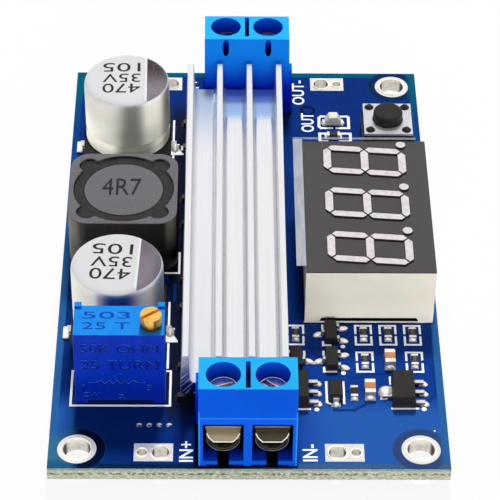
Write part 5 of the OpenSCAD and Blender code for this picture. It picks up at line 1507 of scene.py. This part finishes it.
class CONVERTER_OT_display(bpy.types.Operator):
    """Dresses the three-digit display"""
    bl_idname = "converter.display"
    bl_label = "Display"
    bl_options = {"REGISTER", "UNDO"}

    SEGMENT_LIFT, FILM_LIFT = 0.2 * MM, 0.23 * MM
    WELL_SHIFT = (0.03, -0.14, 0.09)

    def execute(self, context):
        sizes = context.scene.converter_sizes
        dressed("display_case", finish_of(cream_plastic), sizes.moulded_edge, 3)
        dressed("display_face", finish_of(face_film), 0.04 * MM)
        segments = dressed("display_segments", finish_of(segment_epoxy), 0.03 * MM)
        shifted(segments, (0, 0, self.SEGMENT_LIFT))
        dressed("display_circuit_board", finish_of(inner_board), sizes.metal_edge)
        dressed("display_pins", finish_of(tinned_leg, 10))
        shifted(dressed("display_film", finish_of(clear_film)), (0, 0, self.FILM_LIFT))
        self.wells()
        return {"FINISHED"}

    def wells(self):
        """A dark copy of the segments, shifted a little to the front under them: a painted shadow along
        their lower edges.
        """
        piece = copied("display_segments", "display_wells", 0.02 * MM)
        shifted(piece, metres(*self.WELL_SHIFT))
        handed(piece, finish_of(well_shade), "root")


class CONVERTER_OT_controls(bpy.types.Operator):
    """Dresses the push switch and the indicator lamp"""
    bl_idname = "converter.controls"
    bl_label = "Switch and Indicator"
    bl_options = {"REGISTER", "UNDO"}

    def execute(self, context):
        sizes = context.scene.converter_sizes
        dressed("switch_base", finish_of(base_plastic), sizes.moulded_edge)
        dressed("switch_cover", finish_of(spring_steel), sizes.metal_edge)
        dressed("switch_button", finish_of(base_plastic), sizes.metal_edge)
        dressed("switch_dome", finish_of(spring_steel))
        dressed("switch_legs", finish_of(tinned_leg, 40), sizes.metal_edge)
        dressed("indicator_base", finish_of(lamp_white), 0.03 * MM)
        dressed("indicator_lens", finish_of(lamp_lens), 0.1 * MM, 3)
        dressed("indicator_ends", finish_of(gilt_end), 0.03 * MM)
        return {"FINISHED"}


class CONVERTER_OT_chips(bpy.types.Operator):
    """Dresses the chips and flows solder round their legs"""
    bl_idname = "converter.chips"
    bl_label = "Chip Parts"
    bl_options = {"REGISTER", "UNDO"}

    LEGGED = {
        "transistor": "bodies", "regulator": "bodies", "signal_diode": "body", "control_chip": "bodies",
    }
    LEAD_FEET = (((-20.0, 19.2), (-20.0, 18.0)), ((-20.0, -12.9), (-20.0, -14.0)))
    LEAD_WIDTH, LEAD_HEIGHT = 0.72, 0.36

    def execute(self, context):
        for kind, form in self.LEGGED.items():
            dressed(f"{kind}_{form}", finish_of(moulded_black), 0.06 * MM)
        for kind in self.LEGGED:
            dressed(kind + "_legs", finish_of(tinned_leg, 0), 0.03 * MM)
        dressed("chip_resistors", finish_of(resistor_body), 0.03 * MM)
        dressed("chip_resistor_ends", finish_of(soldered), 0.06 * MM)
        dressed("chip_capacitors", finish_of(ceramic_tan), 0.05 * MM)
        dressed("chip_capacitor_ends", finish_of(soldered), 0.08 * MM)
        self.fillets()
        self.lead_feet()
        self.codes()
        return {"FINISHED"}

    def feet(self):
        """Centre, half length, half width, turn and height of the solder on each foot."""
        for y in (REAR_ROW, FRONT_ROW):
            yield 10.4, y + 0.95, 0.62, 0.34, 12, 0.3
            yield 10.4, y - 0.95, 0.62, 0.34, -18, 0.3
            yield 7.7, y, 0.62, 0.36, 20, 0.3
        yield 6.55, FRONT_ROW, 0.6, 0.34, -20, 0.3
        for x in (18.95, 7.55):
            for y, turn in ((-21.2, -12), (-22.7, 0), (-24.2, -12)):
                yield x, y, 0.34, 0.3, turn, 0.24
        yield 14.72, -22.5, 0.86, 0.82, 0, 0.78
        yield 9.32, -24.28, 0.4, 0.36, 0, 0.44
        for x in (9.5, 11.5):
            yield x, 23.6, 0.42, 0.5, 0, 0.3
        for y in (18.6, -13.2):
            yield -8.6, y, 0.5, 0.8, 0, 0.4
        for x, y in (*RESISTORS, UNMARKED_CHIP):
            for side in (-1, 1):
                yield x, y + side * 0.8, 0.4, 0.3, 0, 0.36
        for x, y in CERAMICS:
            for side in (-1, 1):
                yield x, y + side, 0.54, 0.3, 0, 0.5

    def fillets(self):
        """Solder that has run over the feet of the legs and chips."""
        piece = blank("leg_solder")
        for x, y, length, width, turn, height in self.feet():
            bpy.ops.mesh.primitive_uv_sphere_add(
                segments=24, ring_count=12, radius=1, location=metres(x, y, BOARD_TOP + 0.05),
                rotation=(0, 0, math.radians(turn)), scale=(length * MM, width * MM, height * MM))
        bpy.ops.mesh.select_all(action="SELECT")
        bpy.ops.mesh.bisect(plane_co=(0, 0, (BOARD_TOP + 0.005) * MM), plane_no=(0, 0, 1), use_fill=True,
                            clear_inner=True)
        leave()
        smooth(piece, 60)
        handed(piece, finish_of(soldered), "root")

    def lead_feet(self):
        """Solder along the outer leads of the capacitors."""
        piece = blank("lead_solder")
        for start, end in self.LEAD_FEET:
            bar(start, end, self.LEAD_WIDTH, BOARD_TOP + 0.01, BOARD_TOP + self.LEAD_HEIGHT)
        leave()
        handed(rounded(piece, 0.14 * MM, 3), finish_of(soldered), "root")

    def codes(self):
        """The printed values of the resistors."""
        top = corners("chip_resistors")[1].z
        words = [letters(code, (x - 0.16, y - 0.36, top - 0.005), (x + 0.16, y + 0.36, top + 0.008), UPWARDS)
                 for (x, y), code in RESISTORS.items()]
        handed(joined("resistor_codes", *words), finish_of(faint_ink), "root")


STEPS = (
    CONVERTER_OT_stage, CONVERTER_OT_board, CONVERTER_OT_printing, CONVERTER_OT_terminals,
    CONVERTER_OT_heatsink, CONVERTER_OT_capacitors, CONVERTER_OT_inductor, CONVERTER_OT_trimmer,
    CONVERTER_OT_display, CONVERTER_OT_controls, CONVERTER_OT_chips,
)


class CONVERTER_PT_sidebar(bpy.types.Panel):
    """Lists the steps of the build with their sizes and colours"""
    bl_label = "Boost Converter"
    bl_idname = "CONVERTER_PT_sidebar"
    bl_space_type = "VIEW_3D"
    bl_region_type = "UI"
    bl_category = "Converter"

    def draw(self, context):
        for step in STEPS:
            self.layout.operator(step.bl_idname, text=step.bl_label)
        for group in (context.scene.converter_sizes, context.scene.converter_colours):
            for name in group.__annotations__:
                self.layout.prop(group, name)


CLASSES = (ConverterColours, ConverterSizes, *STEPS, CONVERTER_PT_sidebar)


def register():
    for kind in CLASSES:
        bpy.utils.register_class(kind)
    bpy.types.Scene.converter_colours = bpy.props.PointerProperty(type=ConverterColours)
    bpy.types.Scene.converter_sizes = bpy.props.PointerProperty(type=ConverterSizes)


def unregister():
    del bpy.types.Scene.converter_sizes
    del bpy.types.Scene.converter_colours
    for kind in reversed(CLASSES):
        bpy.utils.unregister_class(kind)


def main():
    register()
    for step in STEPS:
        getattr(bpy.ops.converter, step.bl_idname.split(".")[1])()


if __name__ == "__main__":
    main()
